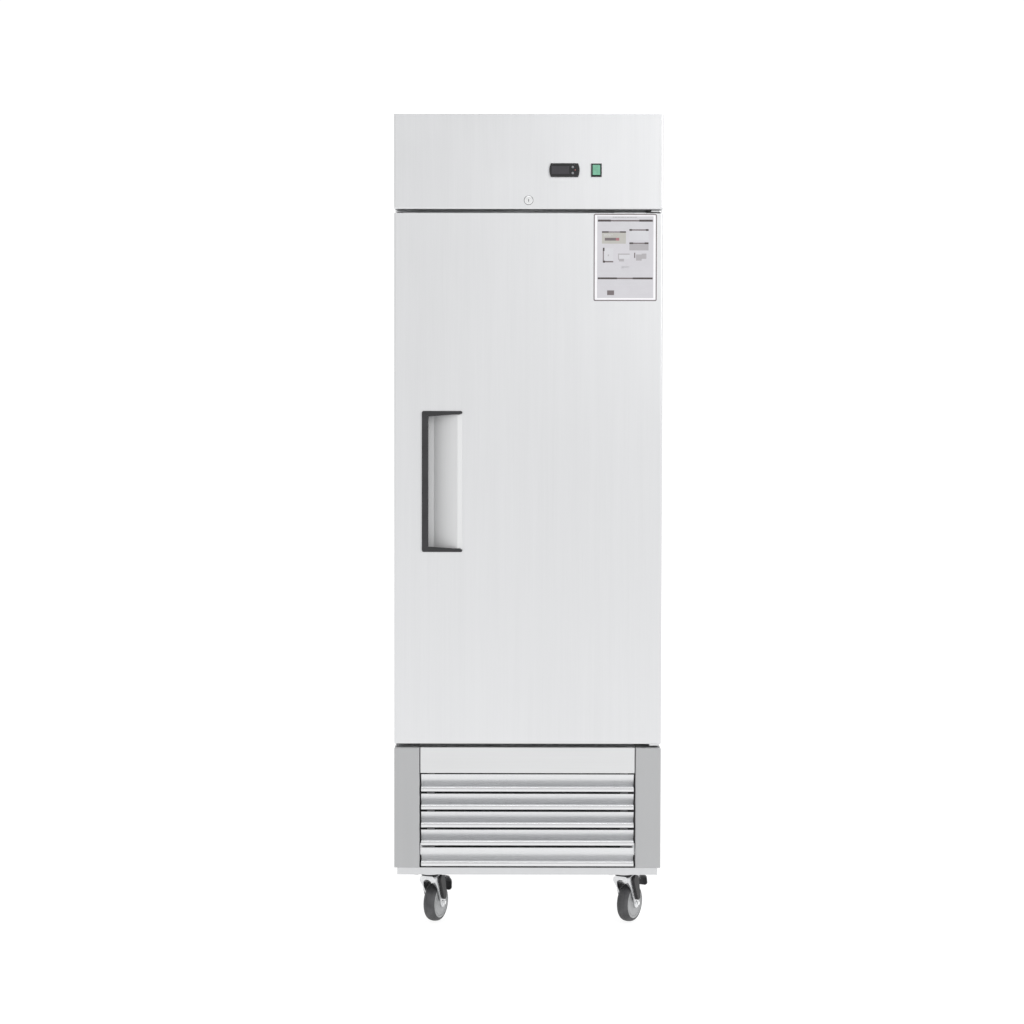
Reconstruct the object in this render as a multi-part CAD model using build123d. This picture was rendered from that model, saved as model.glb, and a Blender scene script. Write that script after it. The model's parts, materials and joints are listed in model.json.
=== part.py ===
# Reach-in refrigerator: one hinged door, a compressor in the base, and four swivel casters.
# Millimetres. X is to the right, Y to the back and Z up. The origin is on the floor, below the middle of the box.
from build123d import *
import math
import os

# Overall size
WIDTH = 686.0
DEPTH = 800.0
HEIGHT = 2095.0
FRONT_PROUD = 7.0            # the pull's frame in front of the door's face
REAR_PROUD = 8.0             # the cord gland behind the back panel

# Sheet metal
SKIN = 1.2                   # outer stainless sheet
LINER = 1.0                  # inner liner sheet
BEND = 4.0                   # outer radius of the folded edges
CORNER = 5.0                 # radius of the header's and the posts' corners, seen from the front
WALL = 60.0                  # insulated wall, outer face to inner face
FLANGE = 50.0                # front return of the side panels
REAR_FLANGE = 20.0
FIT = 0.3                    # gap between parts that are only laid together

# Levels
CASTER_HEAD = 44.0           # top of the wheels to the base pan
RAIL_HEIGHT = 18.0
RAIL_INSET = 7.5
BASE_HEIGHT = 330.0          # underside of the base pan to the top of the posts
HEADER_HEIGHT = 244.0
DOOR_GAP = 9.5

# Door
DOOR_THICKNESS = 58.0
DOOR_BEND = 5.0
DOOR_EDGE = 1.5              # radius of the door's top and bottom front edges
DOOR_RIM = 14.0
SEAL_INSET = 21.0            # door's edge to the gasket
GASKET_WIDTH = 22.0
GASKET_THICKNESS = 10.6
SEAL_MARGIN = 17.0           # gasket to the throat
SEAL_CLEARANCE = 0.4
PLATEAU = 8.0                # how far the door's liner stands into the throat

# Hinge
HINGE_SIDE_INSET = 16.0      # hinge axis to the door's side
HINGE_FACE_INSET = 24.0      # hinge axis to the door's face
PIN_RADIUS = 5.0
PIN_LENGTH = 28.0
RUNNING = 0.05               # radial clearance of shafts and pins
BUSH_RADIUS = 9.0
BUSH_FLANGE_RADIUS = 10.5
BUSH_LENGTH = 30.0
TOP_BUSH_FLANGE = 3.8
BOTTOM_BUSH_FLANGE = 1.2
BRACKET_THICKNESS = 4.0
BRACKET_NOSE = 14.0          # hinge axis to the bracket's front edge
BRACKET_LEDGE = 22.0         # width of the bracket's plate along the cabinet
BRACKET_LEG = 2.5
BRACKET_LEG_HEIGHT = 17.0
TOP_BRACKET_LENGTH = 120.0
BOTTOM_BRACKET_LENGTH = 80.0

# Pull in the door
PULL_INSET = 71.3            # door's left edge to the frame
PULL_RISE = 673.7            # door's bottom edge to the middle of the frame
PULL_WIDTH = 103.4
PULL_HEIGHT = 360.8
GRIP_WIDTH = 16.6
ARM_ROOT = 14.0
ARM_TIP = 8.0
FRAME_THICKNESS = 9.0
CHEEK = 3.0
POCKET_DEPTH = 34.0          # door's face to the floor of the pocket
POCKET_FLAT = 13.0           # level part of the floor that shows beside the grip
PULL_PLATE = 1.5
PLATE_LIP = 11.0

# Label on the door
LABEL_WIDTH = 161.0
LABEL_HEIGHT = 221.0
LABEL_RIGHT_INSET = 16.0
LABEL_TOP_INSET = 2.0
LABEL_THICKNESS = 0.3

# Header and its fittings
LINE_INSET = 10.0            # header's edge to the fine line round its face
LINE_WIDTH = 0.8
CONTROLLER_X = 91.0
CONTROLLER_DROP = 145.0      # header's top to the middle of the controller
CONTROLLER_WIDTH = 77.0
CONTROLLER_HEIGHT = 35.0
CONTROLLER_PROUD = 5.0
CONTROLLER_DEPTH = 52.0
CONTROLLER_BODY_WIDTH = 71.0
CONTROLLER_BODY_HEIGHT = 29.0
WINDOW_WIDTH = 46.0
WINDOW_HEIGHT = 21.0
WINDOW_THICKNESS = 2.0
KEY_X = 21.0
KEY_Z = 7.7
KEY_RADIUS = 3.2
KEY_PROUD = 1.0
KEY_LENGTH = 6.0
SWITCH_X = 172.3
SWITCH_WIDTH = 27.0
SWITCH_HEIGHT = 34.0
SWITCH_PROUD = 3.0
ROCKER_WIDTH = 19.0
ROCKER_HEIGHT = 27.0
ROCKER_TILT = 8.0            # degrees, each way from level
LOCK_RISE = 23.0             # header's underside to the lock's axis
LOCK_FLANGE_RADIUS = 10.8
LOCK_BARREL_RADIUS = 9.5
LOCK_PLUG_RADIUS = 6.5
LOCK_PROUD = 3.0
LOCK_DEPTH = 22.0
CAM_LENGTH = 44.0
CAM_WIDTH = 12.0
CAM_THICKNESS = 2.5
CAM_SLOT = 9.0               # width of the slots that the cam drops through

# Base front
POST_WIDTH = 65.5
FASCIA_HEIGHT = 67.0
FASCIA_GAP = 1.5
GRILLE_GAP = 4.0
BLADES = 5
NOSE_HEIGHT = 15.5
BLADE_SLOT = 3.0
BLADE_DEPTH = 19.0
FIRST_SLOPE_EXTRA = 4.0
LAST_SLOPE_EXTRA = 7.0
GRILLE_FOOT = 1.5

# Rear cover
VENT_MARGIN = 62.0           # cover's edge to the air slots
VENT_COLUMNS = 3
VENT_GAP = 40.0
VENT_PITCH = 24.0
VENT_HEIGHT = 7.0
GLAND_SIDE = 40.0            # right side of the cabinet to the cord gland
GLAND_RISE = 45.0
GLAND_RADIUS = 9.0
GLAND_BORE = 5.0
GLAND_FLANGE = 13.0

# Casters
WHEEL_RADIUS = 50.0
WHEEL_WIDTH = 32.0
TYRE_ROUND = 10.0            # radius of the tyre's shoulders
HUB_WIDTH = 36.0
TRAIL = 34.0
CASTER_SPREAD = 253.0        # swivel axis to the middle plane
CASTER_FRONT_INSET = 75.0    # swivel axis to the door's face
CASTER_REAR_INSET = 82.0     # swivel axis to the back panel
PLATE_WIDTH = 95.0
PLATE_DEPTH = 75.0
PLATE_THICKNESS = 4.0
CUP_RADIUS = 26.0
CUP_HEIGHT = 8.0
KINGPIN_RADIUS = 6.0
LEG_THICKNESS = 3.0
LEG_GAP = 1.0                # hub to leg
AXLE_RADIUS = 5.0
PEDAL_PIVOT_BACK = 18.0      # hinge pin behind the axle
PEDAL_PIVOT_RISE = 12.0      # hinge pin above the wheel's top
PEDAL_LENGTH = 54.0          # hinge pin to the tread's tip
PEDAL_DROP = 28.0            # hinge pin down to the tread's tip
PEDAL_SHEET = 3.5
PEDAL_CORNER = 9.0             # rounding of the tread's tip
PEDAL_WIDTH = 34.0
PEDAL_PIN_RADIUS = 2.5
PEDAL_SHOE = 13.0            # hinge pin to the shoe's sole
PEDAL_SWING = 16.0           # degrees between off and on

# Inside
SHELF_LEVELS = (800.0, 1090.0, 1380.0)
SHELF_FRONT = 68.0           # cabinet front to the shelf
SHELF_BACK = 17.0
SHELF_ROD = 3.2
SHELF_WIRE = 1.8
SHELF_PITCH = 25.4
PILASTER_WIDTH = 24.0
PILASTER_DEPTH = 8.0
PILASTER_SHEET = 1.5
PILASTER_PITCH = 25.4
CLIP_WIDTH = 16.0
CLIP_REACH = 13.0
COVER_DROP = 185.0           # inner ceiling to the underside of the evaporator cover
FAN_RADIUS = 96.0
FAN_GAP = 6.0
FAN_BLADES = 5
FAN_PITCH = 26.0             # degrees
SHAFT_RADIUS = 4.0
FAN_HUB_RADIUS = 26.0
FAN_HUB_LENGTH = 28.0
BLADE_CHORD = 62.0
BLADE_SHEET = 2.0
MOTOR_RADIUS = 36.0
MOTOR_LENGTH = 56.0
MOTOR_GAP = 6.0              # fan hub to the motor
MOTOR_BAR = (22.0, 3.0)      # width and thickness of the bar that carries a motor
EVAP_FAN_INSET = 175.0       # back of the breast panel to the fan's axis
EVAP_FAN_RISE = 22.0         # evaporator cover to the middle of the fan
EVAP_COIL_INSET = 100.0      # inner back to the middle of the coil
EVAP_COIL_RISE = 80.0
EVAP_COIL_LENGTH = 430.0
EVAP_COIL_DEPTH = 120.0
EVAP_COIL_HEIGHT = 110.0
EVAP_COIL_ROWS = 4
EVAP_FIN_PITCH = 10.0
LAMP_LENGTH = 260.0
LAMP_WIDTH = 36.0
LAMP_GAP = 12.0              # breast panel to the lamp's base
COMPRESSOR_SIDE = 193.0      # left side of the cabinet to the compressor's axis
COMPRESSOR_REAR = 202.0      # back panel to the compressor's axis
COMPRESSOR_RADIUS = 82.0
COMPRESSOR_HEIGHT = 166.0
COMPRESSOR_LIFT = 22.0       # base pan to the shell's underside
PORT_RISE = 130.0            # base pan to the compressor's pipe ports
CONDENSER_SIDE = 283.0       # right side of the cabinet to the middle of the coil
CONDENSER_FRONT = 203.0      # door's face to the middle of the coil
CONDENSER_RISE = 138.0       # top of the base rail to the middle of the coil
CONDENSER_LENGTH = 300.0
CONDENSER_DEPTH = 50.0
CONDENSER_HEIGHT = 230.0
CONDENSER_ROWS = 7
FIN_PITCH = 7.5
COIL_TUBE = 4.8
COIL_TURN = 14.0             # how far the coils' bends stand out past the last fin
SHROUD_DEPTH = 45.0
SHROUD_SHEET = 1.5
COLLAR_DEPTH = 30.0
DRIER_SIDE = 53.0            # right side of the cabinet to the drier's axis
DRIER_BEHIND = 210.0         # condenser to the drier's axis
DRIER_RISE = 68.0            # top of the base rail to the drier's lower end
DRIER_LENGTH = 120.0
DRAIN_PAN_SIZE = 260.0
DRAIN_PAN_HEIGHT = 45.0
DRAIN_PAN_SHEET = 2.0
DRAIN_PAN_SIDE = 43.0        # right side of the cabinet to the pan
DRAIN_PAN_REAR = 42.0        # back panel to the pan
SMALL_PIPE = 3.2
SUCTION_PIPE = 4.8
CAPILLARY = 2.0
PAN_SHEET = 1.5              # base pan

# Worked out from the sizes above
HALF = WIDTH / 2
FACE_Y = -DEPTH / 2 + FRONT_PROUD
BACK_Y = DEPTH / 2 - REAR_PROUD
CASTER_HEIGHT = 2 * WHEEL_RADIUS + CASTER_HEAD
DOOR_BACK = FACE_Y + DOOR_THICKNESS
CAB_Y = DOOR_BACK + LINER + GASKET_THICKNESS + SEAL_CLEARANCE
PAN_TOP = CASTER_HEIGHT + RAIL_HEIGHT
BASE_TOP = CASTER_HEIGHT + BASE_HEIGHT
HEADER_BOTTOM = HEIGHT - HEADER_HEIGHT
DOOR_BOTTOM = BASE_TOP + DOOR_GAP
DOOR_TOP = HEADER_BOTTOM - DOOR_GAP
THROAT_INSET = SEAL_INSET + GASKET_WIDTH + SEAL_MARGIN
THROAT_HALF = HALF - THROAT_INSET
THROAT_BOTTOM = DOOR_BOTTOM + THROAT_INSET
THROAT_TOP = DOOR_TOP - THROAT_INSET
FLOOR_UNDER = THROAT_BOTTOM - WALL
CEILING = HEIGHT - WALL
INNER_BACK = BACK_Y - WALL
BREAST_BACK = CAB_Y + WALL
HINGE_X = HALF - HINGE_SIDE_INSET
HINGE_Y = FACE_Y + HINGE_FACE_INSET
LOCK_Z = HEADER_BOTTOM + LOCK_RISE
CONTROLLER_Z = HEIGHT - CONTROLLER_DROP
PULL_X = -HALF + PULL_INSET
PULL_Z = DOOR_BOTTOM + PULL_RISE - PULL_HEIGHT / 2
GRILLE_HALF = HALF - POST_WIDTH - GRILLE_GAP
COVER_Z = CEILING - COVER_DROP
EVAP_FAN_Y = BREAST_BACK + EVAP_FAN_INSET
EVAP_FAN_Z = COVER_Z + EVAP_FAN_RISE
PAN_FLOOR = CASTER_HEIGHT + PAN_SHEET
COMPRESSOR_X = -HALF + COMPRESSOR_SIDE
COMPRESSOR_Y = BACK_Y - COMPRESSOR_REAR
CONDENSER_X = HALF - CONDENSER_SIDE
CONDENSER_Y = FACE_Y + CONDENSER_FRONT
CONDENSER_Z = PAN_TOP + CONDENSER_RISE
SHROUD_FRONT = CONDENSER_Y + CONDENSER_DEPTH / 2 + 1.0
SHROUD_BACK = SHROUD_FRONT + SHROUD_DEPTH
CONDENSER_FAN_Y = SHROUD_BACK + COLLAR_DEPTH / 2
MOTOR_ARM = FAN_RADIUS + FAN_GAP + 1.0
MOTOR_BRIDGE = FAN_HUB_LENGTH / 2 + MOTOR_GAP + MOTOR_LENGTH - 13.5
GLAND_X = HALF - GLAND_SIDE
GLAND_Z = PAN_TOP + GLAND_RISE
PLATE_Z = CASTER_HEIGHT - PLATE_THICKNESS
CUP_Z = PLATE_Z - CUP_HEIGHT
CROWN_Z = CUP_Z - 0.5
LEG_X = HUB_WIDTH / 2 + LEG_GAP
LEG_OUTSIDE = LEG_X + LEG_THICKNESS
PEDAL_PIVOT = (TRAIL + PEDAL_PIVOT_BACK, 2 * WHEEL_RADIUS + PEDAL_PIVOT_RISE)


def span(x0, x1, y0, y1, z0, z1):
    # A box between six limits
    return Pos((x0 + x1) / 2, (y0 + y1) / 2, (z0 + z1) / 2) * Box(x1 - x0, y1 - y0, z1 - z0)


def rod(start, end, radius):
    # A round bar between two points
    line = Vector(*end) - Vector(*start)
    bar = Cylinder(radius, line.length, align=(Align.CENTER, Align.CENTER, Align.MIN))
    return Plane(origin=start, z_dir=line) * bar


def along_y(x, y0, y1, z, radius):
    return rod((x, y0, z), (x, y1, z), radius)


def mirrored(shape):
    return mirror(shape, about=Plane.YZ)


def strip(path, thickness):
    # The section of a folded sheet whose middle line is the path
    return make_face(offset(path, amount=thickness / 2, side=Side.BOTH).edges())


def save(node, *solids):
    shape = solids[0] if len(solids) == 1 else Compound(children=list(solids))
    export_step(shape, f"parts/{node}.step")


def folded_box(x0, x1, z0, z1, y0, y1, bend, corners=(), corner=0.0):
    # A box whose front edges are bends; corners names the (x, z) corners that are rounded in front view
    block = span(x0, x1, y0, y1, z0, z1)
    for x, z in corners:
        edges = block.edges().filter_by(Axis.Y)
        nearest = sorted(edges, key=lambda e: abs(e.center().X - x) + abs(e.center().Z - z))[0]
        block = fillet(nearest, corner)
    front = block.faces().sort_by(Axis.Y)[0]
    return fillet(front.edges(), bend)


# Cabinet shell

def side_panel():
    top = HEIGHT - SKIN
    sheet = span(HALF - SKIN, HALF, CAB_Y, BACK_Y, PAN_TOP, top)
    front = span(HALF - FLANGE, HALF, CAB_Y, CAB_Y + SKIN, PAN_TOP, top)
    rear = span(HALF - REAR_FLANGE, HALF, BACK_Y - SKIN, BACK_Y, PAN_TOP, top)
    foot = span(HALF - REAR_FLANGE, HALF, CAB_Y, BACK_Y, PAN_TOP, PAN_TOP + SKIN)
    return sheet + front + rear + foot


def top_panel():
    sheet = span(-HALF, HALF, CAB_Y, BACK_Y, HEIGHT - SKIN, HEIGHT)
    breast = span(-HALF + FLANGE, HALF - FLANGE, CAB_Y, CAB_Y + SKIN, THROAT_TOP + trim_cover(), HEIGHT)
    return sheet + breast


def trim_cover():
    # Width of cabinet face that the throat trim covers
    return THROAT_INSET - FLANGE


def floor_panel():
    half = HALF - SKIN
    sheet = span(-half, half, CAB_Y + SKIN, BACK_Y - 2 * SKIN, FLOOR_UNDER, FLOOR_UNDER + SKIN)
    sill_top = THROAT_BOTTOM - trim_cover()
    sill = span(-HALF + FLANGE, HALF - FLANGE, CAB_Y, CAB_Y + SKIN, BASE_TOP - 14.0, sill_top)
    return sheet + sill


def back_panel():
    half = HALF - SKIN
    return span(-half, half, BACK_Y - 2 * SKIN, BACK_Y - SKIN, FLOOR_UNDER, HEIGHT - SKIN)


def cabinet_foam():
    # Six slabs that fill the walls
    inner = THROAT_HALF + LINER
    outer = HALF - SKIN
    front = CAB_Y + SKIN
    back = BACK_Y - 2 * SKIN
    low = FLOOR_UNDER + SKIN
    high = HEIGHT - SKIN
    side = span(inner, outer, front, back, low, high)
    rear = span(-inner, inner, INNER_BACK + LINER, back, low, high)
    floor = span(-inner, inner, front, INNER_BACK + LINER, low, THROAT_BOTTOM - LINER)
    roof = span(-inner, inner, front, INNER_BACK + LINER, CEILING + LINER, high)
    breast = span(-inner, inner, front, BREAST_BACK - LINER, THROAT_TOP + LINER, CEILING + LINER)
    return side, mirrored(side), rear, floor, roof, breast


def liner_panels():
    half = THROAT_HALF
    front = CAB_Y + SKIN
    low = THROAT_BOTTOM - LINER
    high = CEILING + LINER
    side = span(half, half + LINER, front, INNER_BACK + LINER, low, THROAT_TOP)
    side += span(half, half + LINER, BREAST_BACK - LINER, INNER_BACK + LINER, THROAT_TOP, high)
    rear = span(-half, half, INNER_BACK, INNER_BACK + LINER, low, high)
    floor = span(-half, half, front, INNER_BACK, low, THROAT_BOTTOM)
    ceiling = span(-half, half, BREAST_BACK - LINER, INNER_BACK, CEILING, high)
    breast = span(-half, half, BREAST_BACK - LINER, BREAST_BACK, THROAT_TOP + LINER, CEILING)
    soffit = span(-half, half, front, BREAST_BACK, THROAT_TOP, THROAT_TOP + LINER)
    return side, mirrored(side), rear, floor, ceiling, breast, soffit


def mitred_frame(profile, reach):
    # Four strips round the throat, mitred at the corners. profile: points (out from the throat, Y).
    # reach: how far the section goes in and out, for the mitre wedges.
    inward, outward = reach
    strips = []
    for axis, sign in (("x", -1), ("x", 1), ("z", -1), ("z", 1)):
        if axis == "x":
            line = [(sign * (THROAT_HALF + u), y) for u, y in profile]
            section = make_face(Polyline(*line, close=True))
            low = THROAT_BOTTOM - outward
            bar = extrude(Pos(0, 0, low) * section, THROAT_TOP + outward - low, dir=(0, 0, 1))
            inner = sign * (THROAT_HALF - inward)
            outer = sign * (THROAT_HALF + outward)
            wedge = [(inner, THROAT_BOTTOM + inward), (outer, THROAT_BOTTOM - outward),
                     (outer, THROAT_TOP + outward), (inner, THROAT_TOP - inward)]
        else:
            edge = THROAT_TOP if sign > 0 else THROAT_BOTTOM
            line = [(y, edge + sign * u) for u, y in profile]
            section = make_face(Polyline(*line, close=True))
            half = THROAT_HALF + outward
            bar = extrude(Plane.YZ.offset(-half) * section, 2 * half, dir=(1, 0, 0))
            inner = edge - sign * inward
            outer = edge + sign * outward
            wedge = [(-THROAT_HALF + inward, inner), (-half, outer), (half, outer), (THROAT_HALF - inward, inner)]
        mitre = extrude(Plane.XZ * make_face(Polyline(*wedge, close=True)), DEPTH, both=True)
        strips.append(bar & mitre)
    return strips


def throat_trim():
    lip = 2.0
    depth = 20.0
    cover = trim_cover() - FIT
    front = CAB_Y
    profile = [(-lip, front), (cover, front), (cover, front + SKIN), (0, front + SKIN),
               (0, front + depth), (-lip, front + depth)]
    return mitred_frame(profile, (lip, cover))


def door_gasket():
    # A foot on the door, a waist, and a head that holds the magnet
    foot = DOOR_BACK + LINER
    head = foot + GASKET_THICKNESS
    u0 = SEAL_MARGIN
    u1 = SEAL_MARGIN + GASKET_WIDTH
    profile = [(u0 + 2, foot), (u1 - 2, foot), (u1 - 2, foot + 2.2), (u1 - 5, foot + 3.8), (u1 - 2, foot + 5.8),
               (u1, head - 3.6), (u1, head - 0.8), (u1 - 0.8, head), (u0 + 0.8, head), (u0, head - 0.8),
               (u0, head - 3.6), (u0 + 2, foot + 5.8), (u0 + 5, foot + 3.8), (u0 + 2, foot + 2.2)]
    return mitred_frame(profile, (-u0, u1))


# Header

def header_panel():
    corners = ((-HALF, HEADER_BOTTOM), (HALF, HEADER_BOTTOM))
    shell = folded_box(-HALF, HALF, HEADER_BOTTOM, HEIGHT, FACE_Y, CAB_Y, BEND, corners, CORNER)
    inner = folded_box(-HALF + SKIN, HALF - SKIN, HEADER_BOTTOM + SKIN, HEIGHT - SKIN, FACE_Y + SKIN,
                       CAB_Y + SKIN, BEND - SKIN)
    shell -= inner
    line = LINE_INSET
    outside = span(-HALF + line, HALF - line, FACE_Y - 1, FACE_Y + 0.4, HEADER_BOTTOM - line, HEIGHT - line)
    inside = span(-HALF + line + LINE_WIDTH, HALF - line - LINE_WIDTH, FACE_Y - 2, FACE_Y + 1,
                  HEADER_BOTTOM - line - 1, HEIGHT - line - LINE_WIDTH)
    shell -= outside - inside
    body_w = CONTROLLER_BODY_WIDTH / 2 + FIT
    body_h = CONTROLLER_BODY_HEIGHT / 2 + FIT
    shell -= span(CONTROLLER_X - body_w, CONTROLLER_X + body_w, FACE_Y - 1, FACE_Y + 5,
                  CONTROLLER_Z - body_h, CONTROLLER_Z + body_h)
    w = SWITCH_WIDTH / 2 - 2 + FIT
    h = SWITCH_HEIGHT / 2 - 2 + FIT
    shell -= span(SWITCH_X - w, SWITCH_X + w, FACE_Y - 1, FACE_Y + 5, CONTROLLER_Z - h, CONTROLLER_Z + h)
    shell -= along_y(0, FACE_Y - 1, FACE_Y + 5, LOCK_Z, LOCK_BARREL_RADIUS + FIT)
    return shell - cam_slot(HEADER_BOTTOM, SKIN)


def cam_slot(level, depth):
    # The opening that the lock's cam swings down through, on the right of the lock
    middle = cam_front() + CAM_THICKNESS / 2
    left = -CAM_WIDTH / 2 - 2
    return span(left, CAM_LENGTH, middle - CAM_SLOT / 2, middle + CAM_SLOT / 2, level - depth - 1, level + depth + 1)


def cam_front():
    return FACE_Y + LOCK_DEPTH + 1.0


def controller_housing():
    x0 = CONTROLLER_X - CONTROLLER_WIDTH / 2
    x1 = CONTROLLER_X + CONTROLLER_WIDTH / 2
    z0 = CONTROLLER_Z - CONTROLLER_HEIGHT / 2
    z1 = CONTROLLER_Z + CONTROLLER_HEIGHT / 2
    bow = 4.0
    left = ThreePointArc((x0 + bow, z0), (x0, CONTROLLER_Z), (x0 + bow, z1))
    right = ThreePointArc((x1 - bow, z1), (x1, CONTROLLER_Z), (x1 - bow, z0))
    outline = left + Line((x0 + bow, z1), (x1 - bow, z1)) + right + Line((x1 - bow, z0), (x0 + bow, z0))
    bezel = extrude(Plane.XZ.offset(-FACE_Y) * make_face(outline.edges()), CONTROLLER_PROUD)
    bezel = fillet(bezel.faces().sort_by(Axis.Y)[0].edges(), 1.5)
    body = span(CONTROLLER_X - CONTROLLER_BODY_WIDTH / 2, CONTROLLER_X + CONTROLLER_BODY_WIDTH / 2,
                FACE_Y, FACE_Y + CONTROLLER_DEPTH,
                CONTROLLER_Z - CONTROLLER_BODY_HEIGHT / 2, CONTROLLER_Z + CONTROLLER_BODY_HEIGHT / 2)
    body = fillet(body.edges().filter_by(Axis.Y), 2.0)
    housing = bezel + body
    housing -= window_block(FIT / 3, 0.0)
    for z in (-KEY_Z, KEY_Z):
        housing -= along_y(CONTROLLER_X + KEY_X, FACE_Y - 20, FACE_Y + 6, CONTROLLER_Z + z, KEY_RADIUS + FIT)
    return housing


def window_block(gap, sink):
    front = FACE_Y - CONTROLLER_PROUD
    middle = CONTROLLER_X - 10.5
    w = WINDOW_WIDTH / 2 + gap
    h = WINDOW_HEIGHT / 2 + gap
    return span(middle - w, middle + w, front + sink, front + WINDOW_THICKNESS, CONTROLLER_Z - h, CONTROLLER_Z + h)


def controller_window():
    lens = window_block(0.0, 0.3)
    return fillet(lens.faces().sort_by(Axis.Y)[0].edges(), 0.5)


def controller_key(sign):
    x = CONTROLLER_X + KEY_X
    z = CONTROLLER_Z + sign * KEY_Z
    front = FACE_Y - CONTROLLER_PROUD - KEY_PROUD
    key = along_y(x, front, front + KEY_LENGTH, z, KEY_RADIUS)
    return fillet(key.faces().sort_by(Axis.Y)[0].edges(), 0.6)


def switch_frame():
    w = SWITCH_WIDTH / 2
    h = SWITCH_HEIGHT / 2
    flange = span(SWITCH_X - w, SWITCH_X + w, FACE_Y - SWITCH_PROUD, FACE_Y, CONTROLLER_Z - h, CONTROLLER_Z + h)
    flange = fillet(flange.faces().sort_by(Axis.Y)[0].edges(), 1.0)
    body = span(SWITCH_X - w + 2, SWITCH_X + w - 2, FACE_Y, FACE_Y + 30, CONTROLLER_Z - h + 2, CONTROLLER_Z + h - 2)
    well = span(SWITCH_X - ROCKER_WIDTH / 2 - 0.5, SWITCH_X + ROCKER_WIDTH / 2 + 0.5,
                FACE_Y - SWITCH_PROUD - 1, FACE_Y + 14,
                CONTROLLER_Z - ROCKER_HEIGHT / 2 - 0.9, CONTROLLER_Z + ROCKER_HEIGHT / 2 + 0.9)
    frame = flange + body - well
    pivot = rocker_pivot()
    return frame - rod((SWITCH_X - w + 3, *pivot), (SWITCH_X + w - 3, *pivot), 1.5 + RUNNING)


def rocker_pivot():
    return FACE_Y + 1.0, CONTROLLER_Z


def switch_rocker():
    # Two faces that meet in a shallow valley, tipped so that the top is pressed in
    y0, z0 = rocker_pivot()
    h = ROCKER_HEIGHT / 2
    front = -SWITCH_PROUD - 2.2
    valley = front + h * math.tan(math.radians(ROCKER_TILT))
    arc = ThreePointArc((1.5, h - 1.2), (5.0, 0), (1.5, -h + 1.2))
    line = Polyline((1.5, -h + 1.2), (front, -h + 0.4), (valley, 0), (front, h - 0.4), (1.5, h - 1.2))
    side = Plane.YZ.offset(-ROCKER_WIDTH / 2) * make_face((arc + line).edges())
    body = extrude(side, ROCKER_WIDTH, dir=(1, 0, 0))
    reach = SWITCH_WIDTH / 2 - 3.4
    body += rod((-reach, 0, 0), (reach, 0, 0), 1.5)
    return Pos(SWITCH_X, y0, z0) * Rot(-ROCKER_TILT, 0, 0) * body


def lock_housing():
    flange = along_y(0, FACE_Y - LOCK_PROUD, FACE_Y, LOCK_Z, LOCK_FLANGE_RADIUS)
    flange = chamfer(flange.faces().sort_by(Axis.Y)[0].edges(), 1.2)
    barrel = along_y(0, FACE_Y, FACE_Y + LOCK_DEPTH, LOCK_Z, LOCK_BARREL_RADIUS)
    nut = along_y(0, FACE_Y + SKIN, FACE_Y + SKIN + 4, LOCK_Z, LOCK_BARREL_RADIUS + 4.5)
    bore = along_y(0, FACE_Y - 10, FACE_Y + 40, LOCK_Z, LOCK_PLUG_RADIUS + RUNNING)
    return flange + barrel + nut - bore


def lock_plug():
    front = FACE_Y - LOCK_PROUD + 0.4
    plug = along_y(0, front, cam_front() + CAM_THICKNESS, LOCK_Z, LOCK_PLUG_RADIUS)
    plug -= span(-0.8, 0.8, front - 1, front + 4, LOCK_Z - 4, LOCK_Z + 4)
    arm = span(0, CAM_LENGTH - CAM_WIDTH / 2, cam_front(), cam_front() + CAM_THICKNESS,
               LOCK_Z - CAM_WIDTH / 2, LOCK_Z + CAM_WIDTH / 2)
    tip = along_y(CAM_LENGTH - CAM_WIDTH / 2, cam_front(), cam_front() + CAM_THICKNESS, LOCK_Z, CAM_WIDTH / 2)
    hub = along_y(0, cam_front(), cam_front() + CAM_THICKNESS, LOCK_Z, LOCK_BARREL_RADIUS)
    return plug + arm + tip + hub


# Door

def door_block(gap, back):
    # The door's outer form, made smaller by gap all round
    block = span(-HALF + gap, HALF - gap, FACE_Y + gap, back, DOOR_BOTTOM + gap, DOOR_TOP - gap)
    front = block.faces().sort_by(Axis.Y)[0]
    block = fillet(front.edges().filter_by(Axis.Z), DOOR_BEND - gap)
    front = block.faces().sort_by(Axis.Y)[0]
    return fillet(front.edges().filter_by(Axis.X), DOOR_EDGE - gap)


def door_skin():
    window = span(-HALF + DOOR_RIM, HALF - DOOR_RIM, DOOR_BACK - 2 * SKIN, DOOR_BACK + 1,
                  DOOR_BOTTOM + DOOR_RIM, DOOR_TOP - DOOR_RIM)
    skin = door_block(0.0, DOOR_BACK) - door_block(SKIN, DOOR_BACK - SKIN) - window
    skin -= pocket_hole(FACE_Y - 1, FACE_Y + 5)
    skin -= cam_slot(DOOR_TOP, SKIN)
    for x in (-HINGE_X, HINGE_X):
        skin -= rod((x, HINGE_Y, DOOR_TOP - 5), (x, HINGE_Y, DOOR_TOP + 5), BUSH_RADIUS)
        skin -= rod((x, HINGE_Y, DOOR_BOTTOM - 5), (x, HINGE_Y, DOOR_BOTTOM + 5), BUSH_RADIUS)
    return skin


def pocket_hole(y0, y1):
    return span(PULL_X + 2.5, PULL_X + PULL_WIDTH - 5.5, y0, y1, PULL_Z + 5, PULL_Z + PULL_HEIGHT - 5)


def door_liner():
    # A flat sheet with a raised middle that reaches into the throat
    edge = 2.0
    sheet = span(-HALF + edge, HALF - edge, DOOR_BACK, DOOR_BACK + LINER, DOOR_BOTTOM + edge, DOOR_TOP - edge)
    raised = plateau(0.0, DOOR_BACK)
    hollow = plateau(LINER, DOOR_BACK - LINER)
    return sheet + raised - hollow


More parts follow.
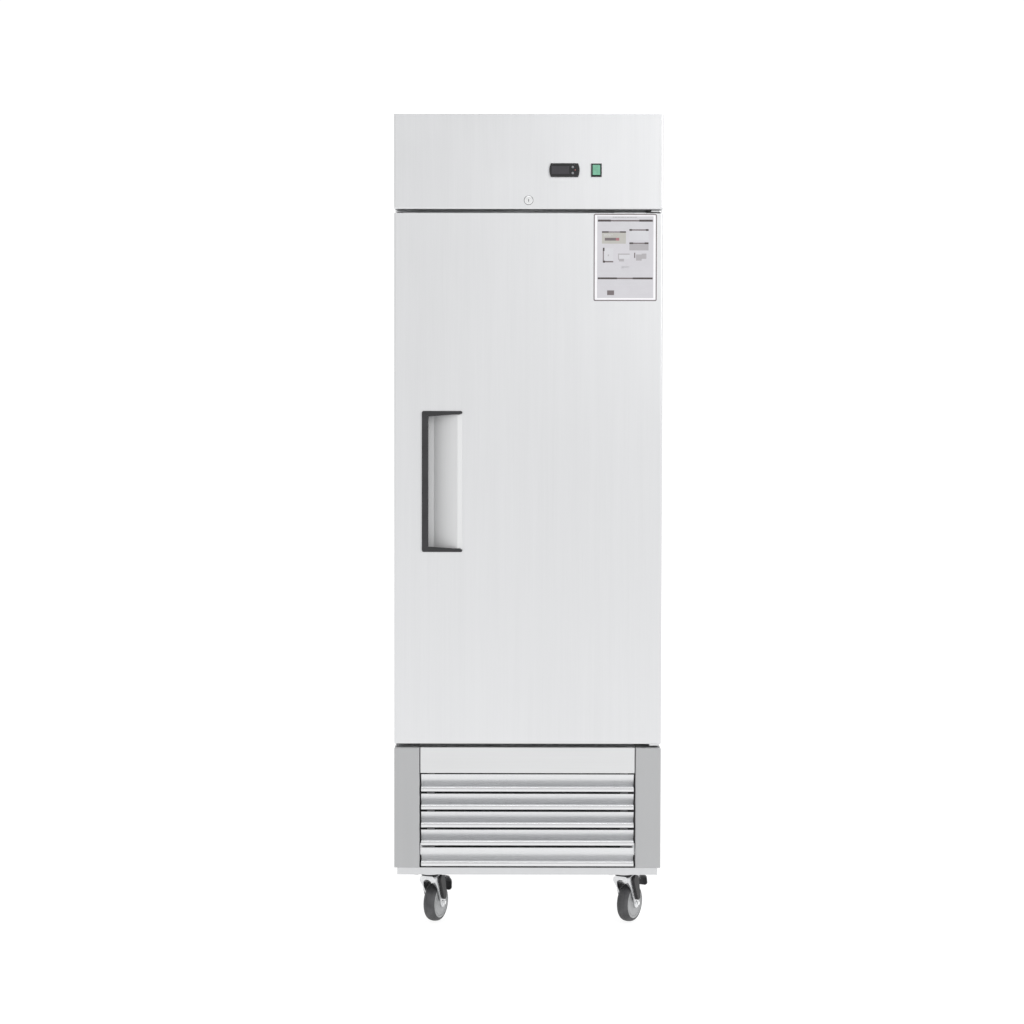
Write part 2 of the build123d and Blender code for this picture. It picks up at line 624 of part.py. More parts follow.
def plateau(gap, base):
    side = 13.0
    middle = (THROAT_BOTTOM + THROAT_TOP) / 2
    outline = Rectangle(2 * (THROAT_HALF - side - gap), THROAT_TOP - THROAT_BOTTOM - 2 * (side + gap))
    outline = Plane(origin=(0, base, middle), x_dir=(1, 0, 0), z_dir=(0, 1, 0)) * outline
    return extrude(outline, PLATEAU + LINER, taper=20)


def door_foam():
    # Seven slabs, which leave room for the pull's pocket and for the lock's cam
    out = HALF - SKIN
    y0 = FACE_Y + SKIN
    y1 = DOOR_BACK - SKIN
    low = DOOR_BOTTOM + SKIN
    high = DOOR_TOP - SKIN
    left = PULL_X + 1.0
    right = PULL_X + PULL_WIDTH - 3.0
    bottom = PULL_Z + 3.0
    top = PULL_Z + PULL_HEIGHT - 3.0
    pocket = FACE_Y + POCKET_DEPTH + 3.0
    shelf = DOOR_TOP - 20.0
    slabs = [span(-out, out, y0, y1, low, bottom),
             span(-out, left, y0, y1, bottom, top),
             span(right, out, y0, y1, bottom, top),
             span(left, right, pocket, y1, bottom, top),
             span(-out, out, y0, y1, top, shelf),
             span(-out, -CAM_WIDTH, y0, y1, shelf, high),
             span(CAM_LENGTH + 2, out, y0, y1, shelf, high)]
    bushes = door_bush_solids(BUSH_RADIUS + FIT)
    form = door_block(SKIN, DOOR_BACK - SKIN)
    return [((slab & form) - bushes).solids()[0] for slab in slabs]


def door_bush_solids(radius):
    holes = []
    for x in (-HINGE_X, HINGE_X):
        holes.append(rod((x, HINGE_Y, DOOR_TOP - BUSH_LENGTH - 2), (x, HINGE_Y, DOOR_TOP), radius))
        holes.append(rod((x, HINGE_Y, DOOR_BOTTOM), (x, HINGE_Y, DOOR_BOTTOM + BUSH_LENGTH + 2), radius))
    return holes


def hinge_bushes():
    # Two bushes on the hinge side, and two plugs in the same holes on the other side
    top = rod((HINGE_X, HINGE_Y, DOOR_TOP - BUSH_LENGTH), (HINGE_X, HINGE_Y, DOOR_TOP), BUSH_RADIUS)
    top += rod((HINGE_X, HINGE_Y, DOOR_TOP), (HINGE_X, HINGE_Y, DOOR_TOP + TOP_BUSH_FLANGE), BUSH_FLANGE_RADIUS)
    low = DOOR_BOTTOM - BOTTOM_BUSH_FLANGE
    bottom = rod((HINGE_X, HINGE_Y, DOOR_BOTTOM), (HINGE_X, HINGE_Y, DOOR_BOTTOM + BUSH_LENGTH), BUSH_RADIUS)
    bottom += rod((HINGE_X, HINGE_Y, low), (HINGE_X, HINGE_Y, DOOR_BOTTOM), BUSH_FLANGE_RADIUS)
    top -= rod((HINGE_X, HINGE_Y, DOOR_TOP - PIN_LENGTH), (HINGE_X, HINGE_Y, DOOR_TOP + 20), PIN_RADIUS + RUNNING)
    bottom -= rod((HINGE_X, HINGE_Y, low - 20), (HINGE_X, HINGE_Y, DOOR_BOTTOM + PIN_LENGTH), PIN_RADIUS + RUNNING)
    plug_top = rod((-HINGE_X, HINGE_Y, DOOR_TOP - 12), (-HINGE_X, HINGE_Y, DOOR_TOP), BUSH_RADIUS)
    plug_top += rod((-HINGE_X, HINGE_Y, DOOR_TOP), (-HINGE_X, HINGE_Y, DOOR_TOP + 3), BUSH_FLANGE_RADIUS)
    plug_low = rod((-HINGE_X, HINGE_Y, DOOR_BOTTOM), (-HINGE_X, HINGE_Y, DOOR_BOTTOM + 12), BUSH_RADIUS)
    plug_low += rod((-HINGE_X, HINGE_Y, DOOR_BOTTOM - 3), (-HINGE_X, HINGE_Y, DOOR_BOTTOM), BUSH_FLANGE_RADIUS)
    return top, bottom, plug_top, plug_low


def top_bracket_level():
    return DOOR_TOP + TOP_BUSH_FLANGE + FIT


def bottom_bracket_level():
    return DOOR_BOTTOM - BOTTOM_BUSH_FLANGE - FIT - BRACKET_THICKNESS


def hinge_bracket(level, length, leg_low, leg_high):
    # A plate that reaches forward to the pin, with a leg screwed to the cabinet's face
    right = HALF - 3.0
    left = right - length
    nose = HINGE_Y - BRACKET_NOSE
    ledge = CAB_Y - BRACKET_LEDGE
    outline = Polyline((left, CAB_Y), (right, CAB_Y), (right, nose), (HINGE_X - BRACKET_NOSE, nose),
                       (HINGE_X - 26, ledge), (left, ledge), close=True)
    plate = extrude(Pos(0, 0, level) * make_face(outline), BRACKET_THICKNESS, dir=(0, 0, 1))
    tips = plate.edges().filter_by(Axis.Z).group_by(Axis.Y)[0]
    plate = fillet(tips, 6.0)
    plate += span(left, right, CAB_Y - BRACKET_LEG, CAB_Y, leg_low, leg_high)
    hole = rod((HINGE_X, HINGE_Y, level - 5), (HINGE_X, HINGE_Y, level + 10), PIN_RADIUS)
    return plate - hole


def hinge_brackets():
    top = top_bracket_level()
    low = bottom_bracket_level()
    upper = hinge_bracket(top, TOP_BRACKET_LENGTH, top - BRACKET_LEG_HEIGHT, top + BRACKET_THICKNESS)
    lower = hinge_bracket(low, BOTTOM_BRACKET_LENGTH, low, low + BRACKET_THICKNESS + BRACKET_LEG_HEIGHT)
    return upper, lower


def hinge_pins():
    top = top_bracket_level()
    low = bottom_bracket_level()
    upper = rod((HINGE_X, HINGE_Y, DOOR_TOP - PIN_LENGTH + 2), (HINGE_X, HINGE_Y, top + BRACKET_THICKNESS), PIN_RADIUS)
    lower = rod((HINGE_X, HINGE_Y, low), (HINGE_X, HINGE_Y, DOOR_BOTTOM + PIN_LENGTH - 2), PIN_RADIUS)
    return upper, lower


def handle_frame():
    # A grip on the left and two tapering arms, with cheeks that close the ends of the pocket
    w = PULL_WIDTH
    h = PULL_HEIGHT
    tip = w - ARM_TIP / 2
    end = ARM_TIP / 2
    low_end = ThreePointArc((tip, 0), (w, end), (tip, ARM_TIP))
    high_end = ThreePointArc((tip, h - ARM_TIP), (w, h - end), (tip, h))
    inner = Polyline((tip, ARM_TIP), (GRIP_WIDTH, ARM_ROOT), (GRIP_WIDTH, h - ARM_ROOT), (tip, h - ARM_TIP))
    outer = Polyline((tip, h), (0, h), (0, 0), (tip, 0))
    outline = make_face((low_end + inner + high_end + outer).edges())
    plane = Plane(origin=(PULL_X, FACE_Y - FRONT_PROUD + FRAME_THICKNESS, PULL_Z), x_dir=(1, 0, 0), z_dir=(0, -1, 0))
    frame = extrude(plane * outline, FRAME_THICKNESS)
    left = frame.edges().filter_by(Axis.Y).group_by(Axis.X)[0]
    frame = fillet(left, 5.0)
    frame = fillet(frame.faces().sort_by(Axis.Y)[0].edges(), 2.4)
    frame -= door_shadow()
    back = FACE_Y + POCKET_DEPTH
    x0 = PULL_X + 3.0
    x1 = PULL_X + w - 8.0
    section = make_face(Polyline((x0, FACE_Y), (x1, FACE_Y), (x0 + CHEEK + 24, back), (x0, back), close=True))
    for z in (PULL_Z + 6.0, PULL_Z + h - 6.0 - CHEEK):
        frame += extrude(Pos(0, 0, z) * section, CHEEK, dir=(0, 0, 1))
    frame += span(x0, x0 + CHEEK, FACE_Y, back, PULL_Z + 6.0, PULL_Z + h - 6.0)
    return frame


def door_shadow():
    # The door's sheet, under the frame, outside the pocket's hole
    sheet = span(-HALF, 0, FACE_Y, FACE_Y + 10, PULL_Z - 20, PULL_Z + PULL_HEIGHT + 20)
    return sheet - pocket_hole(FACE_Y - 1, FACE_Y + 11)


def handle_plate():
    # Level floor beside the grip, then a slope up to a lip that lies on the door's face
    floor = FACE_Y + POCKET_DEPTH - PULL_PLATE / 2
    lip = FACE_Y - PULL_PLATE / 2
    left = PULL_X + 3.0 + CHEEK + PULL_PLATE / 2
    fold = PULL_X + GRIP_WIDTH + POCKET_FLAT
    right = PULL_X + PULL_WIDTH - 1.0
    line = FilletPolyline((left, floor), (fold, floor), (right - PLATE_LIP, lip), (right, lip), radius=3.0)
    low = PULL_Z + 6.0 + CHEEK + FIT
    high = PULL_Z + PULL_HEIGHT - 6.0 - CHEEK - FIT
    return extrude(Pos(0, 0, low) * strip(line, PULL_PLATE), high - low, dir=(0, 0, 1))


def instruction_label():
    x1 = HALF - LABEL_RIGHT_INSET
    z1 = DOOR_TOP - LABEL_TOP_INSET
    label = span(x1 - LABEL_WIDTH, x1, FACE_Y - LABEL_THICKNESS, FACE_Y, z1 - LABEL_HEIGHT, z1)
    return fillet(label.edges().filter_by(Axis.Y), 4.0)


# Base

def base_post():
    x0 = HALF - POST_WIDTH
    post = folded_box(x0, HALF, PAN_TOP, BASE_TOP, FACE_Y, CAB_Y, BEND, ((HALF, BASE_TOP),), CORNER)
    inner = folded_box(x0 + SKIN, HALF - SKIN, PAN_TOP + SKIN, BASE_TOP - SKIN, FACE_Y + SKIN, CAB_Y + SKIN,
                       BEND - SKIN)
    return post - inner


def fascia_bottom():
    return BASE_TOP - FASCIA_HEIGHT


def base_fascia():
    half = HALF - POST_WIDTH - FASCIA_GAP
    front = FACE_Y + 1.0
    fascia = folded_box(-half, half, fascia_bottom(), BASE_TOP, front, front + 26.0, 2.0)
    inner = span(-half + SKIN, half - SKIN, front + SKIN, front + 40.0, fascia_bottom() + SKIN, BASE_TOP - SKIN)
    wing = span(-half, -half + 30.0, front + 26.0 - SKIN, front + 26.0, fascia_bottom(), BASE_TOP)
    return fascia - inner + wing + mirrored(wing)


def blade_tops():
    # Top and height of each blade's slope, from the fascia down
    free = fascia_bottom() - PAN_TOP - GRILLE_FOOT
    slope = (free - BLADES * (NOSE_HEIGHT + BLADE_SLOT) - FIRST_SLOPE_EXTRA - LAST_SLOPE_EXTRA) / BLADES
    tops = []
    level = fascia_bottom()
    for n in range(BLADES):
        height = slope
        if n == 0:
            height += FIRST_SLOPE_EXTRA
        if n == BLADES - 1:
            height += LAST_SLOPE_EXTRA
        tops.append((level - BLADE_SLOT, height))
        level -= BLADE_SLOT + height + NOSE_HEIGHT
    return tops


def louvre_grille():
    # Each blade leans back as it goes down, then comes forward in a shelf and a round nose
    radius = NOSE_HEIGHT / 2 - SKIN / 2
    front = FACE_Y + 2.0 + SKIN / 2
    blades = []
    for top, height in blade_tops():
        shelf = top - height - SKIN / 2
        slope = Polyline((front + 1.0, top - SKIN / 2), (front + BLADE_DEPTH, shelf), (front + radius, shelf))
        nose = ThreePointArc((front + radius, shelf), (front, shelf - radius), (front + radius, shelf - 2 * radius))
        section = strip(slope + nose, SKIN)
        blades.append(extrude(Plane.YZ.offset(-GRILLE_HALF) * section, 2 * GRILLE_HALF, dir=(1, 0, 0)))
    back = front + BLADE_DEPTH
    stile = span(GRILLE_HALF - 34, GRILLE_HALF - 14, back - 1.2, back + 1.2, PAN_TOP + GRILLE_FOOT, fascia_bottom() - 3)
    hook = span(GRILLE_HALF - 34, GRILLE_HALF + GRILLE_GAP, back + 1.2, back + 3.6, PAN_TOP + 30, PAN_TOP + 60)
    return blades[0] + blades[1:] + [stile, mirrored(stile), hook, mirrored(hook)]


def base_pan():
    half = HALF - RAIL_INSET
    front = FACE_Y + 4.0
    back = BACK_Y - 4.0
    tray = span(-half, half, front, back, CASTER_HEIGHT, PAN_TOP)
    tray = fillet(tray.edges().filter_by(Axis.Z), 3.0)
    return tray - span(-half + PAN_SHEET, half - PAN_SHEET, front + PAN_SHEET, back - PAN_SHEET,
                       CASTER_HEIGHT + PAN_SHEET, PAN_TOP + 1)


def rear_cover():
    half = HALF - 6.0
    low = PAN_TOP + 4.0
    high = FLOOR_UNDER - 4.0
    cover = span(-half, half, BACK_Y, BACK_Y + SKIN, low, high)
    slots = []
    length = (2 * half - 2 * VENT_MARGIN - (VENT_COLUMNS - 1) * VENT_GAP) / VENT_COLUMNS
    rows = int((high - low - 2 * VENT_MARGIN) / VENT_PITCH) + 1
    for n in range(rows):
        z = low + VENT_MARGIN + n * VENT_PITCH
        for m in range(VENT_COLUMNS):
            x = -half + VENT_MARGIN + m * (length + VENT_GAP)
            slots.append(span(x, x + length, BACK_Y - 1, BACK_Y + 5, z, z + VENT_HEIGHT))
    return cover - slots - along_y(GLAND_X, BACK_Y - 1, BACK_Y + 5, GLAND_Z, GLAND_RADIUS)


def cord_gland():
    stem = along_y(GLAND_X, BACK_Y - 14, BACK_Y + REAR_PROUD, GLAND_Z, GLAND_RADIUS)
    flange = along_y(GLAND_X, BACK_Y + SKIN, BACK_Y + SKIN + 3, GLAND_Z, GLAND_FLANGE)
    nut = along_y(GLAND_X, BACK_Y - 6, BACK_Y, GLAND_Z, GLAND_FLANGE)
    return stem + flange + nut - along_y(GLAND_X, BACK_Y - 20, BACK_Y + 20, GLAND_Z, GLAND_BORE)


# Cooling machinery

def compressor():
    # A welded shell on a foot plate with four grommets, and a terminal box on its right side
    x, y, z = COMPRESSOR_X, COMPRESSOR_Y, PAN_FLOOR
    radius = COMPRESSOR_RADIUS
    middle = z + COMPRESSOR_LIFT + COMPRESSOR_HEIGHT / 2
    shell = Pos(x, y, middle) * Cylinder(radius, COMPRESSOR_HEIGHT)
    shell = fillet(shell.edges(), 34)
    seam = Pos(x, y, middle - 5) * Cylinder(radius + 4, 8)
    grommet = COMPRESSOR_LIFT - 8
    plate = span(x - radius - 13, x + radius + 13, y - radius + 7, y + radius - 7, z + grommet, z + COMPRESSOR_LIFT)
    box = span(x + radius - 6, x + radius + 30, y - 32, y + 32, z + 70, z + 140)
    body = shell + seam + plate + fillet(box.edges().filter_by(Axis.X), 6)
    places = [(x + i * (radius - 2), y + j * (radius - 22)) for i in (-1, 1) for j in (-1, 1)]
    grommets = [Pos(px, py, z + grommet / 2) * Cylinder(11, grommet) for px, py in places]
    return body, *grommets


def coil_end(length, pitch):
    return int(length / pitch) * pitch / 2 + COIL_TURN


def coil_block(length, depth, height, pitch, rows):
    # Fins on a serpentine of tube, centred on the origin, tubes along X
    fins = []
    count = int(length / pitch)
    for n in range(count + 1):
        fins.append(Pos(-count * pitch / 2 + n * pitch, 0, 0) * Box(1.0, depth, height))
    end = coil_end(length, pitch)
    tubes = []
    step = height / rows
    for n in range(rows):
        z = -height / 2 + (n + 0.5) * step
        for y in (-depth / 4, depth / 4):
            tubes.append(rod((-end, y, z), (end, y, z), COIL_TUBE))
        tubes.append(rod((end, -depth / 4, z), (end, depth / 4, z), COIL_TUBE))
    for n in range(rows - 1):
        z = -height / 2 + (n + 0.5) * step
        tubes.append(rod((-end, -depth / 4, z), (-end, -depth / 4, z + step), COIL_TUBE))
    return tubes[0] + tubes[1:] + fins


def condenser_coil():
    coil = coil_block(CONDENSER_LENGTH, CONDENSER_DEPTH, CONDENSER_HEIGHT, FIN_PITCH, CONDENSER_ROWS)
    return Pos(CONDENSER_X, CONDENSER_Y, CONDENSER_Z) * coil


def condenser_shroud():
    # An open box behind the coil, with a round collar for the fan, and feet on the base pan
    w = CONDENSER_LENGTH / 2 - 4
    h = CONDENSER_HEIGHT / 2
    sheet = SHROUD_SHEET
    y0, y1 = SHROUD_FRONT, SHROUD_BACK
    box = span(CONDENSER_X - w, CONDENSER_X + w, y0, y1, CONDENSER_Z - h, CONDENSER_Z + h)
    box -= span(CONDENSER_X - w + sheet, CONDENSER_X + w - sheet, y0 - 1, y1 - sheet,
                CONDENSER_Z - h + sheet, CONDENSER_Z + h - sheet)
    box += along_y(CONDENSER_X, y1, y1 + COLLAR_DEPTH, CONDENSER_Z, FAN_RADIUS + FAN_GAP + 2)
    box -= along_y(CONDENSER_X, y1 - 10, y1 + COLLAR_DEPTH + 10, CONDENSER_Z, FAN_RADIUS + FAN_GAP)
    foot = 20.0
    for x in (CONDENSER_X - w, CONDENSER_X + w - foot):
        box += span(x, x + foot, y0, y1, PAN_FLOOR, CONDENSER_Z - h + 1)
    return box


def fan():
    # A hub and pitched blades about Z, centred on the origin
    hub = Cylinder(FAN_HUB_RADIUS, FAN_HUB_LENGTH)
    limit = Cylinder(FAN_RADIUS, 60) - Cylinder(FAN_HUB_RADIUS - 6, 70)
    blade = Pos(FAN_RADIUS / 2, 0, 0) * Rot(FAN_PITCH, 0, 0) * Box(FAN_RADIUS, BLADE_CHORD, BLADE_SHEET)
    wheel = hub + [Rot(0, 0, n * 360 / FAN_BLADES) * (blade & limit) for n in range(FAN_BLADES)]
    return wheel - Cylinder(SHAFT_RADIUS + RUNNING, 80)


def condenser_fan():
    return Pos(CONDENSER_X, CONDENSER_FAN_Y, CONDENSER_Z) * Rot(90, 0, 0) * fan()


def evaporator_fan():
    return Pos(0, EVAP_FAN_Y, EVAP_FAN_Z) * fan()


def motor():
    # A fan motor about Z with its shaft down through the fan, and a bracket bar across
    low = FAN_HUB_LENGTH / 2 + MOTOR_GAP
    can = Pos(0, 0, low + MOTOR_LENGTH / 2) * Cylinder(MOTOR_RADIUS, MOTOR_LENGTH)
    can = fillet(can.edges().group_by(Axis.Z)[-1], 8)
    shaft = rod((0, 0, 1 - FAN_HUB_LENGTH / 2), (0, 0, low + 1), SHAFT_RADIUS)
    width, thickness = MOTOR_BAR
    bars = Pos(0, 0, MOTOR_BRIDGE + thickness / 2) * Box(2 * MOTOR_ARM, width, thickness)
    return can + shaft + bars


def fan_motors():
    # Each motor's bar stands on two straps: on the shroud's collar behind, and on the evaporator cover above
    width, thickness = MOTOR_BAR
    rear = Pos(CONDENSER_X, CONDENSER_FAN_Y, CONDENSER_Z) * Rot(-90, 0, 0) * motor()
    upper = Pos(0, EVAP_FAN_Y, EVAP_FAN_Z) * motor()
    bar_back = CONDENSER_FAN_Y + MOTOR_BRIDGE + thickness
    bar_top = EVAP_FAN_Z + MOTOR_BRIDGE + thickness
    for side in (-1, 1):
        x = CONDENSER_X + side * MOTOR_ARM
        rear += span(x - thickness, x + thickness, SHROUD_BACK + COLLAR_DEPTH, bar_back,
                     CONDENSER_Z - width / 2, CONDENSER_Z + width / 2)
        x = side * MOTOR_ARM
        upper += span(x - thickness, x + thickness, EVAP_FAN_Y - width / 2, EVAP_FAN_Y + width / 2,
                      COVER_Z + SKIN, bar_top)
    return rear, upper


def drain_pan():
    x1 = HALF - DRAIN_PAN_SIDE
    y1 = BACK_Y - DRAIN_PAN_REAR
    x0 = x1 - DRAIN_PAN_SIZE
    y0 = y1 - DRAIN_PAN_SIZE
    sheet = DRAIN_PAN_SHEET
    tray = span(x0, x1, y0, y1, PAN_FLOOR, PAN_FLOOR + DRAIN_PAN_HEIGHT)
    tray = fillet(tray.edges().filter_by(Axis.Z), 12)
    return tray - span(x0 + sheet, x1 - sheet, y0 + sheet, y1 - sheet, PAN_FLOOR + sheet, PAN_FLOOR + 50)


def tube(points, radius, bend):
    path = FilletPolyline(*points, radius=bend)
    start = Plane(origin=path @ 0, z_dir=path % 0)
    return sweep(start * Circle(radius), path=path)


def refrigerant_pipes():
    # Discharge line to the condenser, liquid line to the drier, and the two lines that go up into the cabinet
    left = COMPRESSOR_X - 20
    port = PAN_FLOOR + PORT_RISE
    touch = COMPRESSOR_RADIUS
    end = coil_end(CONDENSER_LENGTH, FIN_PITCH) + COIL_TUBE
    row = CONDENSER_HEIGHT / 2 * (1 - 1 / CONDENSER_ROWS)
    inlet = (CONDENSER_X - end, CONDENSER_Y + CONDENSER_DEPTH / 4, CONDENSER_Z + row)
    step = COMPRESSOR_Y - touch - 40
    halfway = (step + inlet[1]) / 2
    discharge = tube([(left, COMPRESSOR_Y - touch, port), (left, step, port), (left, halfway, inlet[2]),
                      (left, inlet[1], inlet[2]), inlet], SMALL_PIPE, 12)
    outlet = (CONDENSER_X + end, CONDENSER_Y, CONDENSER_Z - row)
    low, high = drier_ends()
    liquid = tube([outlet, (low[0], outlet[1], outlet[2]), (low[0], low[1], outlet[2]), low], SMALL_PIPE, 12)
    riser = rod(high, (high[0], high[1], FLOOR_UNDER), CAPILLARY)
    right = COMPRESSOR_X + 30
    rear = COMPRESSOR_Y + touch + 48
    suction = tube([(right, COMPRESSOR_Y + touch - 4, port), (right, rear, port), (right, rear, FLOOR_UNDER)],
                   SUCTION_PIPE, 15)
    return discharge, liquid, riser, suction


def drier_ends():
    y = CONDENSER_Y + DRIER_BEHIND
    low = PAN_TOP + DRIER_RISE
    return (HALF - DRIER_SIDE, y, low), (HALF - DRIER_SIDE, y, low + DRIER_LENGTH)


def filter_drier():
    low, high = drier_ends()
    z0 = low[2]
    z1 = high[2]
    can = rod((low[0], low[1], z0 + 15), (low[0], low[1], z1 - 15), 12)
    can = fillet(can.edges(), 5)
    return can + rod((low[0], low[1], z0), (low[0], low[1], z1), 4.5)


def evaporator_coil():
    coil = coil_block(EVAP_COIL_LENGTH, EVAP_COIL_DEPTH, EVAP_COIL_HEIGHT, EVAP_FIN_PITCH, EVAP_COIL_ROWS)
    return Pos(0, INNER_BACK - EVAP_COIL_INSET, COVER_Z + EVAP_COIL_RISE) * coil


def evaporator_cover():
    # A dished cover under the ceiling: fan hole in front, air slots behind
    half = THROAT_HALF - 8.0
    y0 = BREAST_BACK + 4.0
    y1 = INNER_BACK - 6.0
    cover = span(-half, half, y0, y1, COVER_Z, CEILING)
    cover = fillet(cover.faces().sort_by(Axis.Z)[0].edges(), 8.0)
    inner = span(-half + SKIN, half - SKIN, y0 + SKIN, y1 - SKIN, COVER_Z + SKIN, CEILING + 1)
    inner = fillet(inner.faces().sort_by(Axis.Z)[0].edges(), 8.0 - SKIN)
    cover -= inner
    cover -= rod((0, EVAP_FAN_Y, COVER_Z - 5), (0, EVAP_FAN_Y, COVER_Z + 5), FAN_RADIUS + FAN_GAP)
    slots = [span(x - 9, x + 9, y1 - 70, y1 - 20, COVER_Z - 5, COVER_Z + 5) for x in range(-220, 221, 40)]
    return cover - slots


def fan_guard():
    # Rings and spokes of wire under the fan hole
    z = COVER_Z - 2.0
    rings = [Pos(0, EVAP_FAN_Y, z) * Torus(r, 2.0) for r in (30, 56, 82, FAN_RADIUS + FAN_GAP + 6)]
    reach = FAN_RADIUS + FAN_GAP + 8
    spokes = []
    for n in range(4):
        a = math.radians(45 * n)
        dx, dy = reach * math.cos(a), reach * math.sin(a)
        spokes.append(rod((-dx, EVAP_FAN_Y - dy, z - 2.6), (dx, EVAP_FAN_Y + dy, z - 2.6), 1.6))
    return rings[0] + rings[1:] + spokes


def interior_lamp():
    half = LAMP_LENGTH / 2
    y0 = BREAST_BACK + LAMP_GAP
    low = COVER_Z - 8
    base = span(-half, half, y0, y0 + LAMP_WIDTH, low, COVER_Z)
    lens = Pos(0, y0 + LAMP_WIDTH / 2, low) * Rot(0, 90, 0) * Cylinder(LAMP_WIDTH / 2 - 3, LAMP_LENGTH - 16)
    lens = lens & span(-half, half, y0, y0 + LAMP_WIDTH, low - 40, low)
    return base + lens


# Shelves

def pilaster_y():
    front = CAB_Y + SHELF_FRONT + 50.0
    back = INNER_BACK - SHELF_BACK - 50.0
    return front, back


def pilaster_ends():
    return THROAT_BOTTOM + 40.0, THROAT_TOP - 30.0


def pilaster(y):
    low, high = pilaster_ends()
    x1 = THROAT_HALF
    x0 = x1 - PILASTER_DEPTH
    channel = span(x0, x1, y - PILASTER_WIDTH / 2, y + PILASTER_WIDTH / 2, low, high)
    channel -= span(x0 + PILASTER_SHEET, x1 + 1, y - PILASTER_WIDTH / 2 + PILASTER_SHEET,
                    y + PILASTER_WIDTH / 2 - PILASTER_SHEET, low - 1, high + 1)
    count = int((high - low - 30) / PILASTER_PITCH)
    slots = [span(x0 - 1, x0 + PILASTER_SHEET + 0.5, y - 5, y + 5, z - 2.5, z + 2.5)
             for z in (slot_level(n) for n in range(count + 1))]
    return channel - slots


def slot_level(n):
    return pilaster_ends()[0] + 15.0 + n * PILASTER_PITCH


def shelf_level(wanted):
    # The nearest slot to the wanted height sets the shelf's height
    n = round((wanted - slot_level(0)) / PILASTER_PITCH)
    return slot_level(n)


def shelf_clip(y, level):
    # A ledge under the shelf's rod, a stop beside it, and a tongue in the pilaster's slot
    x1 = THROAT_HALF - PILASTER_DEPTH
    x0 = x1 - CLIP_REACH
    w = CLIP_WIDTH / 2
    clip = span(x0, x1, y - w, y + w, level - 2.0, level + 1.0)
    clip += span(x1 - 2.0, x1, y - w, y + w, level - 14.0, level + 12.0)
    return clip + span(x1, x1 + 4.0, y - 4.6, y + 4.6, level - 2.0, level + 2.0)


def wire_shelf(wanted):
    z = shelf_level(wanted) + 1.0 + SHELF_ROD
    half = THROAT_HALF - PILASTER_DEPTH - 2.0 - SHELF_ROD - 0.6
    y0 = CAB_Y + SHELF_FRONT
    y1 = INNER_BACK - SHELF_BACK
    path = FilletPolyline((-half, y0, z), (half, y0, z), (half, y1, z), (-half, y1, z), radius=8.0, close=True)
    rim = sweep(Plane(origin=path @ 0, z_dir=path % 0) * Circle(SHELF_ROD), path=path)
    bars = []
    for y in (y0 + (y1 - y0) / 3, y0 + 2 * (y1 - y0) / 3):
        bars.append(rod((1 - half, y, z), (half - 1, y, z), SHELF_ROD - 0.2))
    count = int((2 * half - 16) / SHELF_PITCH)
    lift = SHELF_ROD + SHELF_WIRE - 0.8
    for n in range(count + 1):
        x = (n - count / 2) * SHELF_PITCH
        bars.append(rod((x, y0 - 1, z + lift), (x, y1 + 1, z + lift), SHELF_WIRE))
    return rim + bars


# Casters, drawn with the swivel axis on Z and the wheel trailing to the back

def caster_plate(x, y):
    plate = Pos(0, 0, PLATE_Z + PLATE_THICKNESS / 2) * Box(PLATE_WIDTH, PLATE_DEPTH, PLATE_THICKNESS)
    plate = fillet(plate.edges().filter_by(Axis.Z), 8)
    cup = Pos(0, 0, CUP_Z + CUP_HEIGHT / 2) * Cylinder(CUP_RADIUS, CUP_HEIGHT)
    cup = fillet(cup.edges().group_by(Axis.Z)[0], 2)
    plate += cup
    for i in (-1, 1):
        for j in (-1, 1):
            head = Pos(i * (PLATE_WIDTH / 2 - 12), j * (PLATE_DEPTH / 2 - 11), PLATE_Z - 5.5)
            plate += head * extrude(RegularPolygon(7.0, 6), 5.5)
    plate -= Pos(0, 0, PLATE_Z) * Cylinder(KINGPIN_RADIUS + RUNNING, 2 * CUP_HEIGHT)
    return Pos(x, y, 0) * plate


def fork():
    crown_low = CROWN_Z - 10.0
    crown = Pos(0, 0, CROWN_Z - 5) * Cylinder(CUP_RADIUS + 1, 10)
    crown += span(-LEG_X - LEG_THICKNESS, LEG_X + LEG_THICKNESS, -14, 40, crown_low, crown_low + 4)
    crown += Pos(0, 0, CROWN_Z + 4) * Cylinder(KINGPIN_RADIUS, 12)
    boss = 13.0
    py, pz = PEDAL_PIVOT
    outline = make_hull(
        (Pos(TRAIL, WHEEL_RADIUS) * Circle(boss)).edges()
        + (Pos(-10, crown_low + 1) * Circle(3)).edges()
        + (Pos(40, crown_low + 1) * Circle(3)).edges()
        + (Pos(py, pz) * Circle(6)).edges())
    leg = extrude(Plane.YZ.offset(LEG_X) * outline, LEG_THICKNESS, dir=(1, 0, 0))
    body = crown + leg + mirrored(leg)
    pin = rod((-40, py, pz), (40, py, pz), PEDAL_PIN_RADIUS + RUNNING)
    axle_hole = rod((-40, TRAIL, WHEEL_RADIUS), (40, TRAIL, WHEEL_RADIUS), AXLE_RADIUS)
    return body - pin - axle_hole


def axle_bolt():
    outside = LEG_OUTSIDE
    bolt = rod((-outside - 2, TRAIL, WHEEL_RADIUS), (outside + 2, TRAIL, WHEEL_RADIUS), AXLE_RADIUS)
    head = extrude(Plane.YZ.offset(outside) * Pos(TRAIL, WHEEL_RADIUS) * RegularPolygon(8.5, 6), 5.5)
    nut = extrude(Plane.YZ.offset(-outside - 6) * Pos(TRAIL, WHEEL_RADIUS) * RegularPolygon(8.5, 6), 6.0)
    return bolt + head + nut


